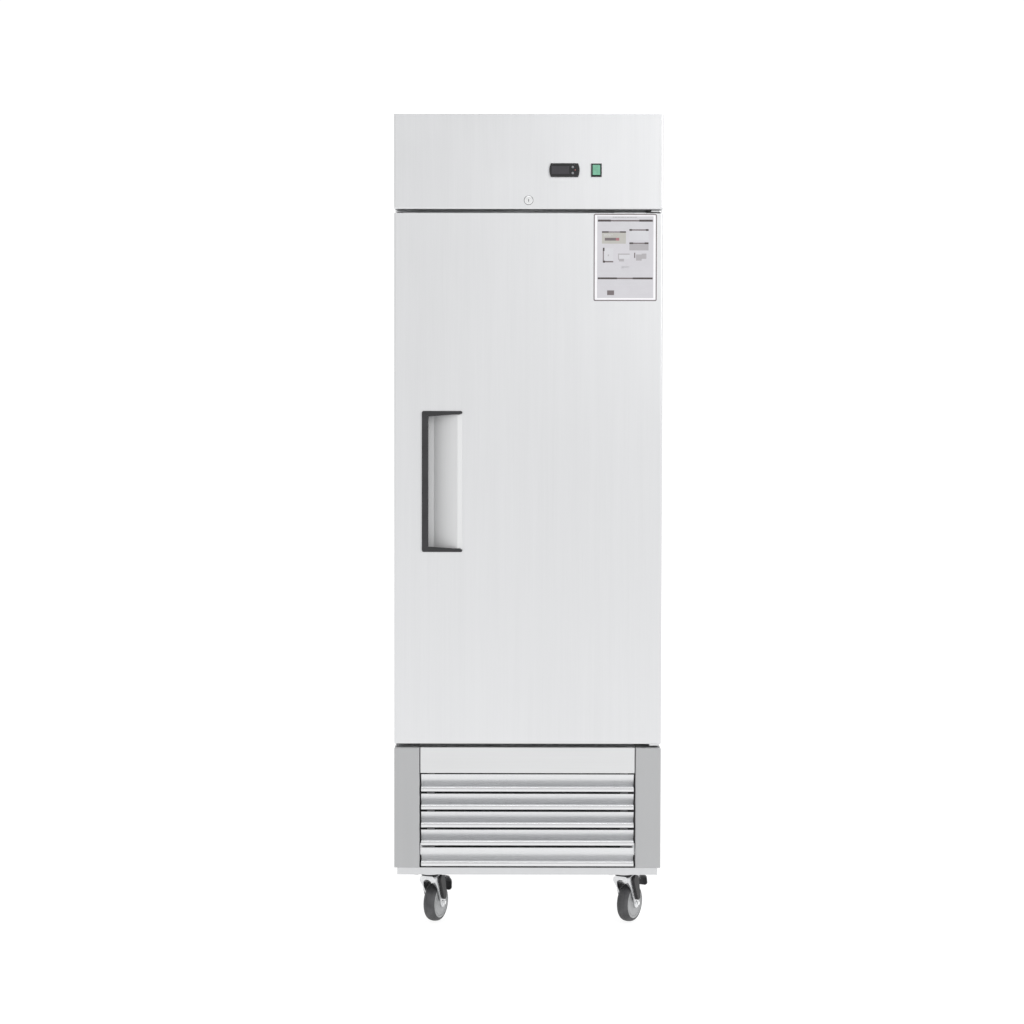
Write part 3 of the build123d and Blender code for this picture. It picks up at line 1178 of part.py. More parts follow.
def wheel():
    hub = Rot(0, 90, 0) * Cylinder(14, HUB_WIDTH)
    tyre = Rot(0, 90, 0) * Cylinder(WHEEL_RADIUS, WHEEL_WIDTH)
    tyre = fillet(tyre.edges(), TYRE_ROUND)
    for side in (-1, 1):
        dish = Pos(side * WHEEL_WIDTH / 2, 0, 0) * Rot(0, 90, 0) * (Cylinder(37, 5) - Cylinder(20, 6))
        tyre -= dish
    body = hub + tyre - Rot(0, 90, 0) * Cylinder(AXLE_RADIUS + RUNNING, 60)
    return Pos(0, TRAIL, WHEEL_RADIUS) * body


def pedal(angle):
    # A tread that curls down to a rounded tip, on a hinge pin between the fork's ears; angle is degrees below level
    py, pz = PEDAL_PIVOT
    w = PEDAL_WIDTH / 2
    line = FilletPolyline((-4, 4.5), (26, 4.5), (PEDAL_LENGTH - 6, -5), (PEDAL_LENGTH, -PEDAL_DROP), radius=9)
    tread = extrude(Plane.YZ.offset(-w) * strip(line, PEDAL_SHEET), 2 * w, dir=(1, 0, 0))
    tip = -PEDAL_DROP - PEDAL_SHEET / 2
    for side in (-1, 1):
        square = Pos(side * PEDAL_CORNER, 0, -PEDAL_CORNER) * Box(2 * PEDAL_CORNER, 160, 2 * PEDAL_CORNER)
        corner = square - Rot(90, 0, 0) * Cylinder(PEDAL_CORNER, 170)
        tread -= Pos(side * (w - PEDAL_CORNER), 0, tip + PEDAL_CORNER) * corner
    hub = rod((-w, 0, 0), (w, 0, 0), 5.0)
    shoe = span(-10, 10, -3, 8, -PEDAL_SHOE, 0)
    pin = rod((-LEG_OUTSIDE - 1, 0, 0), (LEG_OUTSIDE + 1, 0, 0), PEDAL_PIN_RADIUS)
    return Pos(0, py, pz) * Rot(-angle, 0, 0) * (tread + hub + shoe + pin)


CASTERS = {                  # side, row, degrees that the trailing wheel turns to the right
    "front_left": (-1, "front", 23.0),
    "front_right": (1, "front", 30.0),
    "rear_left": (-1, "rear", -12.0),
    "rear_right": (1, "rear", 16.0),
}
PEDAL_ANGLES = {"front_left": PEDAL_SWING, "front_right": 0.0}


def caster_place(name):
    side, row, turn = CASTERS[name]
    y = FACE_Y + CASTER_FRONT_INSET if row == "front" else BACK_Y - CASTER_REAR_INSET
    return side * CASTER_SPREAD, y, turn


def build_casters():
    plates = []
    for name in CASTERS:
        x, y, turn = caster_place(name)
        here = Pos(x, y, 0) * Rot(0, 0, -turn)
        plates.append(caster_plate(x, y))
        save(f"{name}_fork", here * fork(), here * axle_bolt())
        save(f"{name}_wheel", here * wheel())
        if name in PEDAL_ANGLES:
            save(f"{name}_brake_pedal", here * pedal(PEDAL_ANGLES[name]))
    save("caster_plates", *plates)


def screw(x, y, z, direction):
    # A pan head that stands on the face it holds
    head = Cylinder(4.5, 2.6, align=(Align.CENTER, Align.CENTER, Align.MIN))
    head = fillet(head.faces().sort_by(Axis.Z)[-1].edges(), 1.4)
    head -= Pos(0, 0, 2.6) * Box(5.2, 1.0, 2.0)
    head -= Pos(0, 0, 2.6) * Box(1.0, 5.2, 2.0)
    return Plane(origin=(x, y, z), z_dir=direction) * head


def panel_screws():
    front = (0, -1, 0)
    back = (0, 1, 0)
    right = HALF - 3.0
    screws = []
    leg_y = CAB_Y - BRACKET_LEG
    top = top_bracket_level() - BRACKET_LEG_HEIGHT / 2
    low = bottom_bracket_level() + BRACKET_THICKNESS + BRACKET_LEG_HEIGHT / 2
    for n in range(3):
        screws.append(screw(right - TOP_BRACKET_LENGTH + 14 + n * 40, leg_y, top, front))
        screws.append(screw(right - BOTTOM_BRACKET_LENGTH + 10 + n * 28, leg_y, low, front))
    half = HALF - 12.0
    for x in (-half, 0, half):
        screws.append(screw(x, BACK_Y + SKIN, PAN_TOP + 18, back))
        screws.append(screw(x, BACK_Y + SKIN, FLOOR_UNDER - 18, back))
    for n in range(5):
        z = FLOOR_UNDER + 80 + n * (HEIGHT - FLOOR_UNDER - 160) / 4
        screws.append(screw(-HALF + 11, BACK_Y, z, back))
        screws.append(screw(HALF - 11, BACK_Y, z, back))
    return screws


def build_shelves():
    ys = pilaster_y()
    pilasters = []
    clips = []
    for y in ys:
        right = pilaster(y)
        pilasters += [right, mirrored(right)]
        for level in SHELF_LEVELS:
            clip = shelf_clip(y, shelf_level(level))
            clips += [clip, mirrored(clip)]
    save("shelf_pilasters", *pilasters)
    save("shelf_clips", *clips)
    save("wire_shelves", *[wire_shelf(level) for level in SHELF_LEVELS])


def main():
    os.makedirs("parts", exist_ok=True)
    side = side_panel()
    save("side_panels", side, mirrored(side))
    save("top_panel", top_panel())
    save("floor_panel", floor_panel())
    save("back_panel", back_panel())
    save("cabinet_foam", *cabinet_foam())
    save("liner_panels", *liner_panels())
    save("throat_trim", *throat_trim())
    save("header_panel", header_panel())
    save("controller_housing", controller_housing())
    save("controller_window", controller_window())
    save("up_key", controller_key(1))
    save("down_key", controller_key(-1))
    save("switch_frame", switch_frame())
    save("switch_rocker", switch_rocker())
    save("lock_housing", lock_housing())
    save("lock_plug", lock_plug())
    save("door_skin", door_skin())
    save("door_liner", door_liner())
    save("door_foam", *door_foam())
    save("door_gasket", *door_gasket())
    save("handle_frame", handle_frame())
    save("handle_plate", handle_plate())
    save("instruction_label", instruction_label())
    save("hinge_bushes", *hinge_bushes())
    save("hinge_brackets", *hinge_brackets())
    save("hinge_pins", *hinge_pins())
    post = base_post()
    save("base_posts", post, mirrored(post))
    save("base_fascia", base_fascia())
    save("louvre_grille", louvre_grille())
    save("base_pan", base_pan())
    save("rear_cover", rear_cover())
    save("cord_gland", cord_gland())
    save("compressor", *compressor())
    save("condenser_coil", condenser_coil())
    save("condenser_shroud", condenser_shroud())
    save("condenser_fan", condenser_fan())
    save("evaporator_fan", evaporator_fan())
    save("fan_motors", *fan_motors())
    save("drain_pan", drain_pan())
    save("refrigerant_pipes", *refrigerant_pipes())
    save("filter_drier", filter_drier())
    save("evaporator_coil", evaporator_coil())
    save("evaporator_cover", evaporator_cover())
    save("fan_guard", fan_guard())
    save("interior_lamp", interior_lamp())
    build_shelves()
    build_casters()
    save("panel_screws", *panel_screws())


main()
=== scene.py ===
import bpy
import bmesh
import json
import math
import random
from mathutils import Matrix, Vector


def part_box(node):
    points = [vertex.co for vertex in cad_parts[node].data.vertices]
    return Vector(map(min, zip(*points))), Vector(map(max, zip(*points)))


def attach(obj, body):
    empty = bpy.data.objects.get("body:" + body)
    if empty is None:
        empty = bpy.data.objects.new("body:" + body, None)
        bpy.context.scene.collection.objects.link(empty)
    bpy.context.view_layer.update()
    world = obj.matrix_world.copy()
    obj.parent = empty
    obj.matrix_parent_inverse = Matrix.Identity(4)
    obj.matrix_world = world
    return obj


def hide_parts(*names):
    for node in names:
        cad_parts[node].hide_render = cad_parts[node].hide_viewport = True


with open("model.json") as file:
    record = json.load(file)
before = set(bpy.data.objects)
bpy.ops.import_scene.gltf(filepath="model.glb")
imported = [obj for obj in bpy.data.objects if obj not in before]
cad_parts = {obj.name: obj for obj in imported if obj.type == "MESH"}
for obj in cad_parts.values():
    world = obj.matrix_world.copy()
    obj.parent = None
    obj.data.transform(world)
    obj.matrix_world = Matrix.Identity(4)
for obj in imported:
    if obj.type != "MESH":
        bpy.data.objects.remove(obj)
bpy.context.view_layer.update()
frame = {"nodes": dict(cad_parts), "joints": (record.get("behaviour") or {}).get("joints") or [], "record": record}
print("packed model loaded:", len(frame["nodes"]), "nodes")


# Node helpers for the materials

def addNode(tree, kind, values=None, **settings):
    made = tree.nodes.new(kind)
    for key, value in settings.items():
        setattr(made, key, value)
    for key, value in (values or {}).items():
        made.inputs[key].default_value = value
    return made


def stretched(tree, scale):
    # Object coordinates, scaled differently along X, Y and Z
    coords = addNode(tree, "ShaderNodeTexCoord")
    mapping = addNode(tree, "ShaderNodeMapping", {"Scale": scale})
    tree.links.new(coords.outputs["Object"], mapping.inputs["Vector"])
    return mapping.outputs["Vector"]


def noise(tree, scale, detail=3.0, roughness=0.55):
    texture = addNode(tree, "ShaderNodeTexNoise", {"Scale": 1.0, "Detail": detail, "Roughness": roughness})
    tree.links.new(stretched(tree, scale), texture.inputs["Vector"])
    return texture.outputs["Fac"]


def cells(tree, scale, feature="F1", output="Distance"):
    texture = addNode(tree, "ShaderNodeTexVoronoi", {"Scale": 1.0}, feature=feature)
    tree.links.new(stretched(tree, scale), texture.inputs["Vector"])
    return texture.outputs[output]


def remap(tree, value, low, high, fromLow=0.3, fromHigh=0.7):
    node = addNode(tree, "ShaderNodeMapRange", {"From Min": fromLow, "From Max": fromHigh,
                                                 "To Min": low, "To Max": high})
    tree.links.new(value, node.inputs["Value"])
    return node.outputs["Result"]


def multiply(tree, first, second):
    node = addNode(tree, "ShaderNodeMath", operation="MULTIPLY")
    tree.links.new(first, node.inputs[0])
    tree.links.new(second, node.inputs[1])
    return node.outputs[0]


def tinted(tree, colour, shade):
    # The colour, made lighter and darker by the shade
    node = addNode(tree, "ShaderNodeVectorMath", {0: colour[:3]}, operation="SCALE")
    tree.links.new(shade, node.inputs["Scale"])
    return node.outputs[0]


def bumped(tree, height, depth, below=None):
    node = addNode(tree, "ShaderNodeBump", {"Strength": 1.0, "Distance": depth})
    tree.links.new(height, node.inputs["Height"])
    if below:
        tree.links.new(below, node.inputs["Normal"])
    return node.outputs["Normal"]


def startMaterial(name, values):
    material = bpy.data.materials.new(name)
    material.use_nodes = True
    tree = material.node_tree
    tree.nodes.clear()
    end = addNode(tree, "ShaderNodeOutputMaterial")
    shader = addNode(tree, "ShaderNodeBsdfPrincipled", values)
    tree.links.new(shader.outputs[0], end.inputs[0])
    return material, tree, shader


def connect(tree, shader, colour=None, roughness=None, normal=None):
    for socket, source in (("Base Color", colour), ("Roughness", roughness), ("Normal", normal)):
        if source:
            tree.links.new(source, shader.inputs[socket])


# Sheet steel, brushed one way. grain: streaks across X, Y and Z per metre

brushed = {
    "stainless": {"colour": (0.73, 0.735, 0.745), "grain": (900, 900, 5), "wide": (60, 60, 1.2),
                  "rough": (0.34, 0.44), "anisotropic": 0.55, "turn": 0.0},
    "stainlessAcross": {"colour": (0.72, 0.725, 0.73), "grain": (5, 900, 900), "wide": (1.2, 60, 60),
                        "rough": (0.32, 0.42), "anisotropic": 0.5, "turn": 0.25},
    # The base posts' copy of the steel: its colour is painted darker, as painted shade
    "stainlessPaintedShadePost": {"colour": (0.47, 0.474, 0.480), "grain": (900, 900, 5), "wide": (60, 60, 1.2),
                      "rough": (0.44, 0.52), "anisotropic": 0.2, "turn": 0.0, "metal": 0.75},
    "stainlessPan": {"colour": (0.66, 0.665, 0.675), "grain": (900, 900, 5), "wide": (60, 60, 1.2),
                     "rough": (0.44, 0.52), "anisotropic": 0.2, "turn": 0.0, "metal": 0.75},
    "stainlessLouvre": {"colour": (0.76, 0.765, 0.775), "grain": (5, 900, 900), "wide": (1.2, 60, 60),
                        "rough": (0.24, 0.32), "anisotropic": 0.3, "turn": 0.25},
    "stainlessPlate": {"colour": (0.72, 0.725, 0.73), "grain": (1100, 1100, 8), "wide": (70, 70, 2),
                       "rough": (0.46, 0.56), "anisotropic": 0.3, "turn": 0.0, "metal": 0.0},
}


def brushedSteel(name):
    look = brushed[name]
    material, tree, shader = startMaterial(name, {"Metallic": look.get("metal", 1.0),
                                                  "Anisotropic": look["anisotropic"],
                                                  "Anisotropic Rotation": look["turn"]})
    around = addNode(tree, "ShaderNodeTangent", direction_type="RADIAL", axis="Z")
    tree.links.new(around.outputs[0], shader.inputs["Tangent"])
    fine = noise(tree, look["grain"], 4.0, 0.6)
    wide = noise(tree, look["wide"], 2.0)
    smudge = noise(tree, (3.1, 3.1, 2.3), 4.0, 0.6)
    shade = multiply(tree, remap(tree, fine, 0.98, 1.016), remap(tree, wide, 0.99, 1.01))
    low, high = look["rough"]
    rough = multiply(tree, remap(tree, fine, low, high), remap(tree, smudge, 0.94, 1.08))
    connect(tree, shader, tinted(tree, look["colour"], shade), rough, bumped(tree, fine, 0.000005))
    return material


# Zinc coated sheet with a flat spangle

galvanisedLook = {"colour": (0.60, 0.62, 0.64), "spangle": 55, "rough": (0.36, 0.58)}


def galvanised(name):
    look = galvanisedLook
    material, tree, shader = startMaterial(name, {"Metallic": 1.0})
    size = look["spangle"]
    flake = cells(tree, (size, size, size), "F1", "Color")
    dull = noise(tree, (14, 14, 14), 4.0)
    shade = multiply(tree, remap(tree, flake, 0.86, 1.12, 0.0, 1.0), remap(tree, dull, 0.94, 1.05))
    rough = remap(tree, flake, *look["rough"], 0.0, 1.0)
    connect(tree, shader, tinted(tree, look["colour"], shade), rough, bumped(tree, dull, 0.0002))
    return material


# Plated small metal. mottle: how far the plating's shade wanders

plated = {
    "chrome": {"colour": (0.93, 0.935, 0.94), "rough": (0.06, 0.14), "mottle": 0.03},
    "shelfWire": {"colour": (0.80, 0.81, 0.83), "rough": (0.12, 0.22), "mottle": 0.04},
    "zinc": {"colour": (0.70, 0.705, 0.715), "rough": (0.22, 0.36), "mottle": 0.12},
    "copper": {"colour": (0.74, 0.42, 0.27), "rough": (0.25, 0.42), "mottle": 0.12},
    "finAluminium": {"colour": (0.76, 0.77, 0.78), "rough": (0.32, 0.46), "mottle": 0.06},
}


def platedMetal(name):
    look = plated[name]
    material, tree, shader = startMaterial(name, {"Metallic": 1.0})
    cloud = noise(tree, (45, 45, 45), 4.0, 0.6)
    marks = noise(tree, (420, 420, 160), 3.0, 0.7)
    shade = remap(tree, cloud, 1.0 - look["mottle"], 1.0 + look["mottle"] / 2)
    rough = remap(tree, marks, *look["rough"])
    connect(tree, shader, tinted(tree, look["colour"], shade), rough, bumped(tree, marks, 0.00002))
    return material


# Aluminium liner with a pebbled emboss; its colour is painted darker in the hollows between the pebbles, as
# painted shade, and lighter on their tops, as painted highlight

linerLook = {"colour": (0.84, 0.85, 0.86), "pebble": 210, "depth": 0.00022, "rough": (0.30, 0.40)}


def pebbledLiner(name):
    look = linerLook
    material, tree, shader = startMaterial(name, {"Metallic": 1.0})
    size = look["pebble"]
    pebble = cells(tree, (size, size, size), "SMOOTH_F1")
    film = noise(tree, (6, 6, 6), 4.0)
    # Colour: the film's tone, times painted shade in the hollows between the pebbles and a painted highlight on
    # their tops
    shade = multiply(tree, remap(tree, film, 0.95, 1.03), remap(tree, pebble, 1.03, 0.95, 0.1, 0.7))
    connect(tree, shader, tinted(tree, look["colour"], shade), remap(tree, film, *look["rough"]),
            bumped(tree, remap(tree, pebble, 1.0, 0.0, 0.05, 0.65), look["depth"]))
    return material


# Moulded plastics, rubber and enamel. grain: texture of the mould per metre

moulded = {
    "trimPlastic": {"colour": (0.62, 0.63, 0.64), "grain": 1400, "depth": 0.00004,
                    "rough": (0.42, 0.55), "patch": 0.05},
    "blackPlastic": {"colour": (0.022, 0.022, 0.024), "grain": 1200, "depth": 0.00004,
                     "rough": (0.34, 0.48), "patch": 0.25},
    "blackNylon": {"colour": (0.012, 0.012, 0.013), "grain": 900, "depth": 0.00005,
                   "rough": (0.42, 0.56), "patch": 0.30},
    "glossBlack": {"colour": (0.012, 0.012, 0.013), "grain": 500, "depth": 0.000004,
                   "rough": (0.10, 0.20), "patch": 0.2},
    "greyPlastic": {"colour": (0.30, 0.31, 0.32), "grain": 1300, "depth": 0.00003,
                    "rough": (0.40, 0.54), "patch": 0.08},
    "keyRubber": {"colour": (0.17, 0.175, 0.19), "grain": 1600, "depth": 0.00002,
                  "rough": (0.45, 0.6), "patch": 0.06},
    "gasket": {"colour": (0.17, 0.17, 0.18), "grain": 700, "depth": 0.00004,
               "rough": (0.50, 0.66), "patch": 0.14},
    "tyreRubber": {"colour": (0.062, 0.062, 0.065), "grain": 420, "depth": 0.0006,
                   "rough": (0.50, 0.72), "patch": 0.5},
    "hubNylon": {"colour": (0.36, 0.365, 0.37), "grain": 800, "depth": 0.00005,
                 "rough": (0.36, 0.5), "patch": 0.10},
    "compressorEnamel": {"colour": (0.02, 0.02, 0.022), "grain": 260, "depth": 0.00006,
                         "rough": (0.24, 0.38), "patch": 0.2},
    "filterFelt": {"colour": (0.11, 0.112, 0.116), "grain": 900, "depth": 0.0003,
                   "rough": (0.8, 0.95), "patch": 0.2},
    "foam": {"colour": (0.80, 0.70, 0.46), "grain": 500, "depth": 0.0004,
             "rough": (0.8, 0.95), "patch": 0.12},
}


def mouldedPlastic(name):
    look = moulded[name]
    material, tree, shader = startMaterial(name, {"Specular IOR Level": 0.5})
    size = look["grain"]
    grain = noise(tree, (size, size, size), 3.0, 0.6)
    patch = noise(tree, (26, 26, 26), 4.0, 0.6)
    patches = remap(tree, patch, 1.0 - look["patch"], 1.0 + look["patch"])
    shade = multiply(tree, patches, remap(tree, grain, 0.94, 1.06))
    rough = multiply(tree, remap(tree, grain, *look["rough"]), remap(tree, patch, 0.94, 1.08))
    connect(tree, shader, tinted(tree, look["colour"], shade), rough, bumped(tree, grain, look["depth"]))
    return material


# Clear and lit pieces

clear = {
    "darkWindow": {"colour": (0.030, 0.028, 0.034), "rough": (0.10, 0.20), "glow": 0.0, "coat": 0.35},
    "greenRocker": {"colour": (0.17, 0.42, 0.29), "rough": (0.22, 0.32), "glow": 0.05, "coat": 0.3},
    "lampWhite": {"colour": (0.88, 0.89, 0.86), "rough": (0.30, 0.42), "glow": 0.35, "coat": 0.2},
    "redLamp": {"colour": (0.55, 0.16, 0.16), "rough": (0.20, 0.30), "glow": 0.25, "coat": 0.4},
}


def litPlastic(name):
    look = clear[name]
    material, tree, shader = startMaterial(name, {"Coat Weight": look["coat"], "Coat Roughness": 0.06,
                                                  "Emission Strength": look["glow"]})
    haze = noise(tree, (120, 120, 120), 3.0)
    film = noise(tree, (900, 900, 900), 2.0)
    colour = tinted(tree, look["colour"], remap(tree, haze, 0.88, 1.10))
    tree.links.new(colour, shader.inputs["Emission Color"])
    connect(tree, shader, colour, remap(tree, haze, *look["rough"]), bumped(tree, film, 0.000004))
    return material


# Printed label stock and its inks

printed = {
    "label": {"colour": (0.58, 0.57, 0.60), "rough": (0.34, 0.46)},
    "inkMargin": {"colour": (0.86, 0.85, 0.87), "rough": (0.34, 0.46)},
    "inkDark": {"colour": (0.060, 0.048, 0.048), "rough": (0.36, 0.48)},
    "inkBorder": {"colour": (0.16, 0.135, 0.14), "rough": (0.36, 0.48)},
    "inkGrey": {"colour": (0.40, 0.385, 0.40), "rough": (0.36, 0.48)},
    "inkPale": {"colour": (0.60, 0.60, 0.625), "rough": (0.36, 0.48)},
    "inkBeige": {"colour": (0.46, 0.45, 0.42), "rough": (0.36, 0.48)},
    "inkRose": {"colour": (0.36, 0.16, 0.18), "rough": (0.36, 0.48)},
}


def printedFilm(name):
    look = printed[name]
    material, tree, shader = startMaterial(name, {"Coat Weight": 0.25, "Coat Roughness": 0.2})
    fibre = noise(tree, (700, 700, 2600), 4.0, 0.65)
    tone = noise(tree, (30, 30, 30), 3.0)
    shade = multiply(tree, remap(tree, fibre, 0.96, 1.03), remap(tree, tone, 0.97, 1.02))
    connect(tree, shader, tinted(tree, look["colour"], shade), remap(tree, fibre, *look["rough"]),
            bumped(tree, fibre, 0.00001))
    return material


made = {}
for maker, looks in ((brushedSteel, brushed), (platedMetal, plated), (mouldedPlastic, moulded),
                     (litPlastic, clear), (printedFilm, printed)):
    for finishName in looks:
        made[finishName] = maker(finishName)
made["galvanised"] = galvanised("galvanised")
made["pebbledLiner"] = pebbledLiner("pebbledLiner")
print("finishes made:", len(made))

# The record's slots and the finishes that they get
slotFinish = {
    "stainless": "stainless", "galvanised": "galvanised", "liner_sheet": "pebbledLiner", "foam": "foam",
    "trim_plastic": "trimPlastic", "black_plastic": "blackPlastic", "black_nylon": "blackNylon",
    "gloss_black": "glossBlack", "dark_window": "darkWindow", "green_rocker": "greenRocker",
    "gasket": "gasket",
    "label": "label", "chrome": "chrome", "zinc": "zinc", "wheel_grey": "tyreRubber",
    "compressor_black": "compressorEnamel", "fin_aluminium": "finAluminium", "copper": "copper",
    "lamp_white": "lampWhite", "shelf_wire": "shelfWire", "grey_plastic": "greyPlastic",
}
# Nodes that differ from the rest of their slot
nodeFinish = {
    "louvre_grille": "stainlessLouvre", "base_fascia": "stainlessAcross", "base_pan": "stainlessPan",
    # the base posts get the steel whose colour carries painted shade
    "base_posts": "stainlessPaintedShadePost", "handle_plate": "stainlessPlate",
    "up_key": "keyRubber", "down_key": "keyRubber",
}


def paintNodes():
    for part in frame["record"]["subparts"]:
        nodeName = part["node"]
        finish = nodeFinish.get(nodeName, slotFinish[part["material_slot"]])
        mesh = frame["nodes"][nodeName].data
        mesh.materials.clear()
        mesh.materials.append(made[finish])


paintNodes()
print("finishes given to the packed nodes")


# Mesh helpers

def keepPiece(bm, name, finish, body, place=None, smooth=True):
    bmesh.ops.recalc_face_normals(bm, faces=bm.faces)
    mesh = bpy.data.meshes.new(name)
    bm.to_mesh(mesh)
    bm.free()
    if place is not None:
        mesh.transform(place)
    mesh.materials.append(made[finish])
    for face in mesh.polygons:
        face.use_smooth = smooth
    piece = bpy.data.objects.new(name, mesh)
    bpy.context.scene.collection.objects.link(piece)
    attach(piece, body)
    return piece


def addBevel(piece, width, segments=2, angle=35):
    bevel = piece.modifiers.new("edge", "BEVEL")
    bevel.width = width
    bevel.segments = segments
    bevel.limit_method = "ANGLE"
    bevel.angle_limit = math.radians(angle)
    bevel.harden_normals = True
    return piece


def addBlock(bm, low, high):
    # A closed box between two corners
    xs, ys, zs = zip(low, high)
    corners = [bm.verts.new((x, y, z)) for x in xs for y in ys for z in zs]
    for face in ((0, 1, 3, 2), (4, 6, 7, 5), (0, 4, 5, 1), (2, 3, 7, 6), (0, 2, 6, 4), (1, 5, 7, 3)):
        bm.faces.new([corners[n] for n in face])


def addPrism(bm, outline, back, front):
    # A closed prism of an outline in X and Z, between two depths
    rings = [[bm.verts.new((x, y, z)) for x, z in outline] for y in (back, front)]
    bm.faces.new(rings[0])
    bm.faces.new(rings[1])
    count = len(outline)
    for n in range(count):
        m = (n + 1) % count
        bm.faces.new((rings[0][n], rings[0][m], rings[1][m], rings[1][n]))


def addTurned(bm, profile, segments):
    # A closed ring about X from an outline of (radius, along X)
    rings = []
    for n in range(segments):
        a = 2 * math.pi * n / segments
        rings.append([bm.verts.new((along, radius * math.sin(a), radius * math.cos(a)))
                      for radius, along in profile])
    for n in range(segments):
        here, there = rings[n], rings[(n + 1) % segments]
        for m in range(len(profile)):
            k = (m + 1) % len(profile)
            bm.faces.new((here[m], here[k], there[k], there[m]))


def roundedOutline(x0, x1, z0, z1, radius, steps=6):
    outline = []
    for cx, cz, start in ((x1 - radius, z1 - radius, 0), (x0 + radius, z1 - radius, 90),
                          (x0 + radius, z0 + radius, 180), (x1 - radius, z0 + radius, 270)):
        for n in range(steps + 1):
            a = math.radians(start + 90 * n / steps)
            outline.append((cx + radius * math.cos(a), cz + radius * math.sin(a)))
    return outline


# Label print: bars, boxes and greeked lines, in shares of the label's width and height
# from its top left corner

labelPrint = {
    "thickness": 0.00006,
    "radius": 0.004,
    "border": 0.0024,
    "inkDark": [(0.065, 0.065, 0.27, 0.088), (0.72, 0.065, 0.935, 0.088), (0.065, 0.729, 0.37, 0.750),
                (0.62, 0.729, 0.935, 0.750), (0.130, 0.199, 0.235, 0.215), (0.415, 0.199, 0.510, 0.215),
                (0.565, 0.173, 0.605, 0.194), (0.825, 0.173, 0.868, 0.194), (0.565, 0.326, 0.625, 0.345),
                (0.805, 0.326, 0.868, 0.345), (0.145, 0.388, 0.172, 0.425), (0.145, 0.535, 0.180, 0.560)],
    "inkBorder": [(0.27, 0.069, 0.72, 0.086), (0.37, 0.731, 0.62, 0.748), (0.235, 0.201, 0.415, 0.213),
                  (0.605, 0.176, 0.825, 0.191), (0.625, 0.329, 0.805, 0.343), (0.175, 0.274, 0.350, 0.306),
                  (0.145, 0.425, 0.160, 0.535), (0.180, 0.540, 0.310, 0.556), (0.640, 0.445, 0.658, 0.505),
                  (0.215, 0.878, 0.325, 0.932)],
    "inkRose": [(0.350, 0.274, 0.405, 0.306)],
    "inkBeige": [(0.130, 0.215, 0.510, 0.341)],
    "inkGrey": [(0.565, 0.345, 0.868, 0.418), (0.385, 0.455, 0.400, 0.525), (0.400, 0.455, 0.570, 0.468),
                (0.400, 0.515, 0.480, 0.545), (0.670, 0.465, 0.760, 0.535), (0.760, 0.455, 0.835, 0.515),
                (0.224, 0.465, 0.240, 0.485)],
    "inkPale": [(0.565, 0.194, 0.868, 0.300), (0.172, 0.392, 0.310, 0.540), (0.400, 0.468, 0.570, 0.515)],
}
# Greeked lines: left, right, top, how many, step down
labelLines = [(0.30, 0.68, 0.033, 1, 0.02), (0.10, 0.89, 0.112, 2, 0.012), (0.10, 0.86, 0.142, 2, 0.012),
              (0.16, 0.30, 0.235, 2, 0.014), (0.105, 0.56, 0.588, 4, 0.014), (0.44, 0.82, 0.600, 3, 0.014),
              (0.105, 0.90, 0.668, 2, 0.013), (0.110, 0.88, 0.775, 4, 0.015), (0.37, 0.57, 0.876, 4, 0.014),
              (0.61, 0.89, 0.880, 3, 0.016), (0.105, 0.165, 0.885, 1, 0.014)]


def printLabel():
    low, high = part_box("instruction_label")
    width, height = high.x - low.x, high.z - low.z
    front = low.y
    thick = labelPrint["thickness"]
    rng = random.Random(7)

    def spot(bm, u0, v0, u1, v1, proud=1.0):
        addBlock(bm, (low.x + u0 * width, front - thick * proud, high.z - v1 * height),
                 (low.x + u1 * width, front + thick, high.z - v0 * height))

    ring = bmesh.new()
    edge = labelPrint["border"]
    outer = roundedOutline(low.x, high.x, low.z, high.z, labelPrint["radius"])
    inner = roundedOutline(low.x + edge, high.x - edge, low.z + edge, high.z - edge,
                           labelPrint["radius"] - edge / 2)
    loops = []
    for outline, depth in ((outer, front - thick), (inner, front - thick), (inner, front + thick),
                           (outer, front + thick)):
        loops.append([ring.verts.new((x, depth, z)) for x, z in outline])
    for n in range(len(outer)):
        m = (n + 1) % len(outer)
        for k in range(4):
            here, there = loops[k], loops[(k + 1) % 4]
            ring.faces.new((here[n], here[m], there[m], there[n]))
    keepPiece(ring, "label_border", "inkBorder", "door", smooth=False)

    margin = bmesh.new()
    for u0, v0, u1, v1 in ((0.02, 0.012, 0.055, 0.985), (0.945, 0.012, 0.98, 0.985),
                           (0.055, 0.012, 0.945, 0.026), (0.055, 0.965, 0.945, 0.985)):
        spot(margin, u0, v0, u1, v1, 0.6)
    keepPiece(margin, "label_margin_print", "inkMargin", "door", smooth=False)

    heights = {"inkBeige": 0.7, "inkPale": 0.8, "inkGrey": 0.9, "inkRose": 1.1, "inkBorder": 1.0,
               "inkDark": 1.05}
    for ink, proud in heights.items():
        bm = bmesh.new()
        for u0, v0, u1, v1 in labelPrint[ink]:
            spot(bm, u0, v0, u1, v1, proud)
        if ink == "inkGrey":
            for left, right, top, count, step in labelLines[:1]:
                dashes(bm, spot, rng, left, right, top, count, step, 0.009)
        if ink == "inkPale":
            for left, right, top, count, step in labelLines[1:]:
                dashes(bm, spot, rng, left, right, top, count, step, 0.0045)
        keepPiece(bm, "label_" + ink[3:].lower() + "_print", ink, "door", smooth=False)


def dashes(bm, spot, rng, left, right, top, count, step, tall):
    # Lines of blocks of uneven length, in place of words
    for row in range(count):
        u = left
        end = right - (rng.uniform(0.05, 0.3) * (right - left) if row == count - 1 and count > 1 else 0.0)
        while u < end - 0.01:
            length = rng.uniform(0.018, 0.055)
            spot(bm, u, top + row * step, min(u + length, end), top + row * step + tall, 0.75)
            u += length + 0.007


printLabel()
print("label printed")


# Controls in the header

controls = {"lampRadius": 0.0011, "lampOffset": (0.0062, 0.0), "markSize": 0.0021, "markProud": 0.00015}


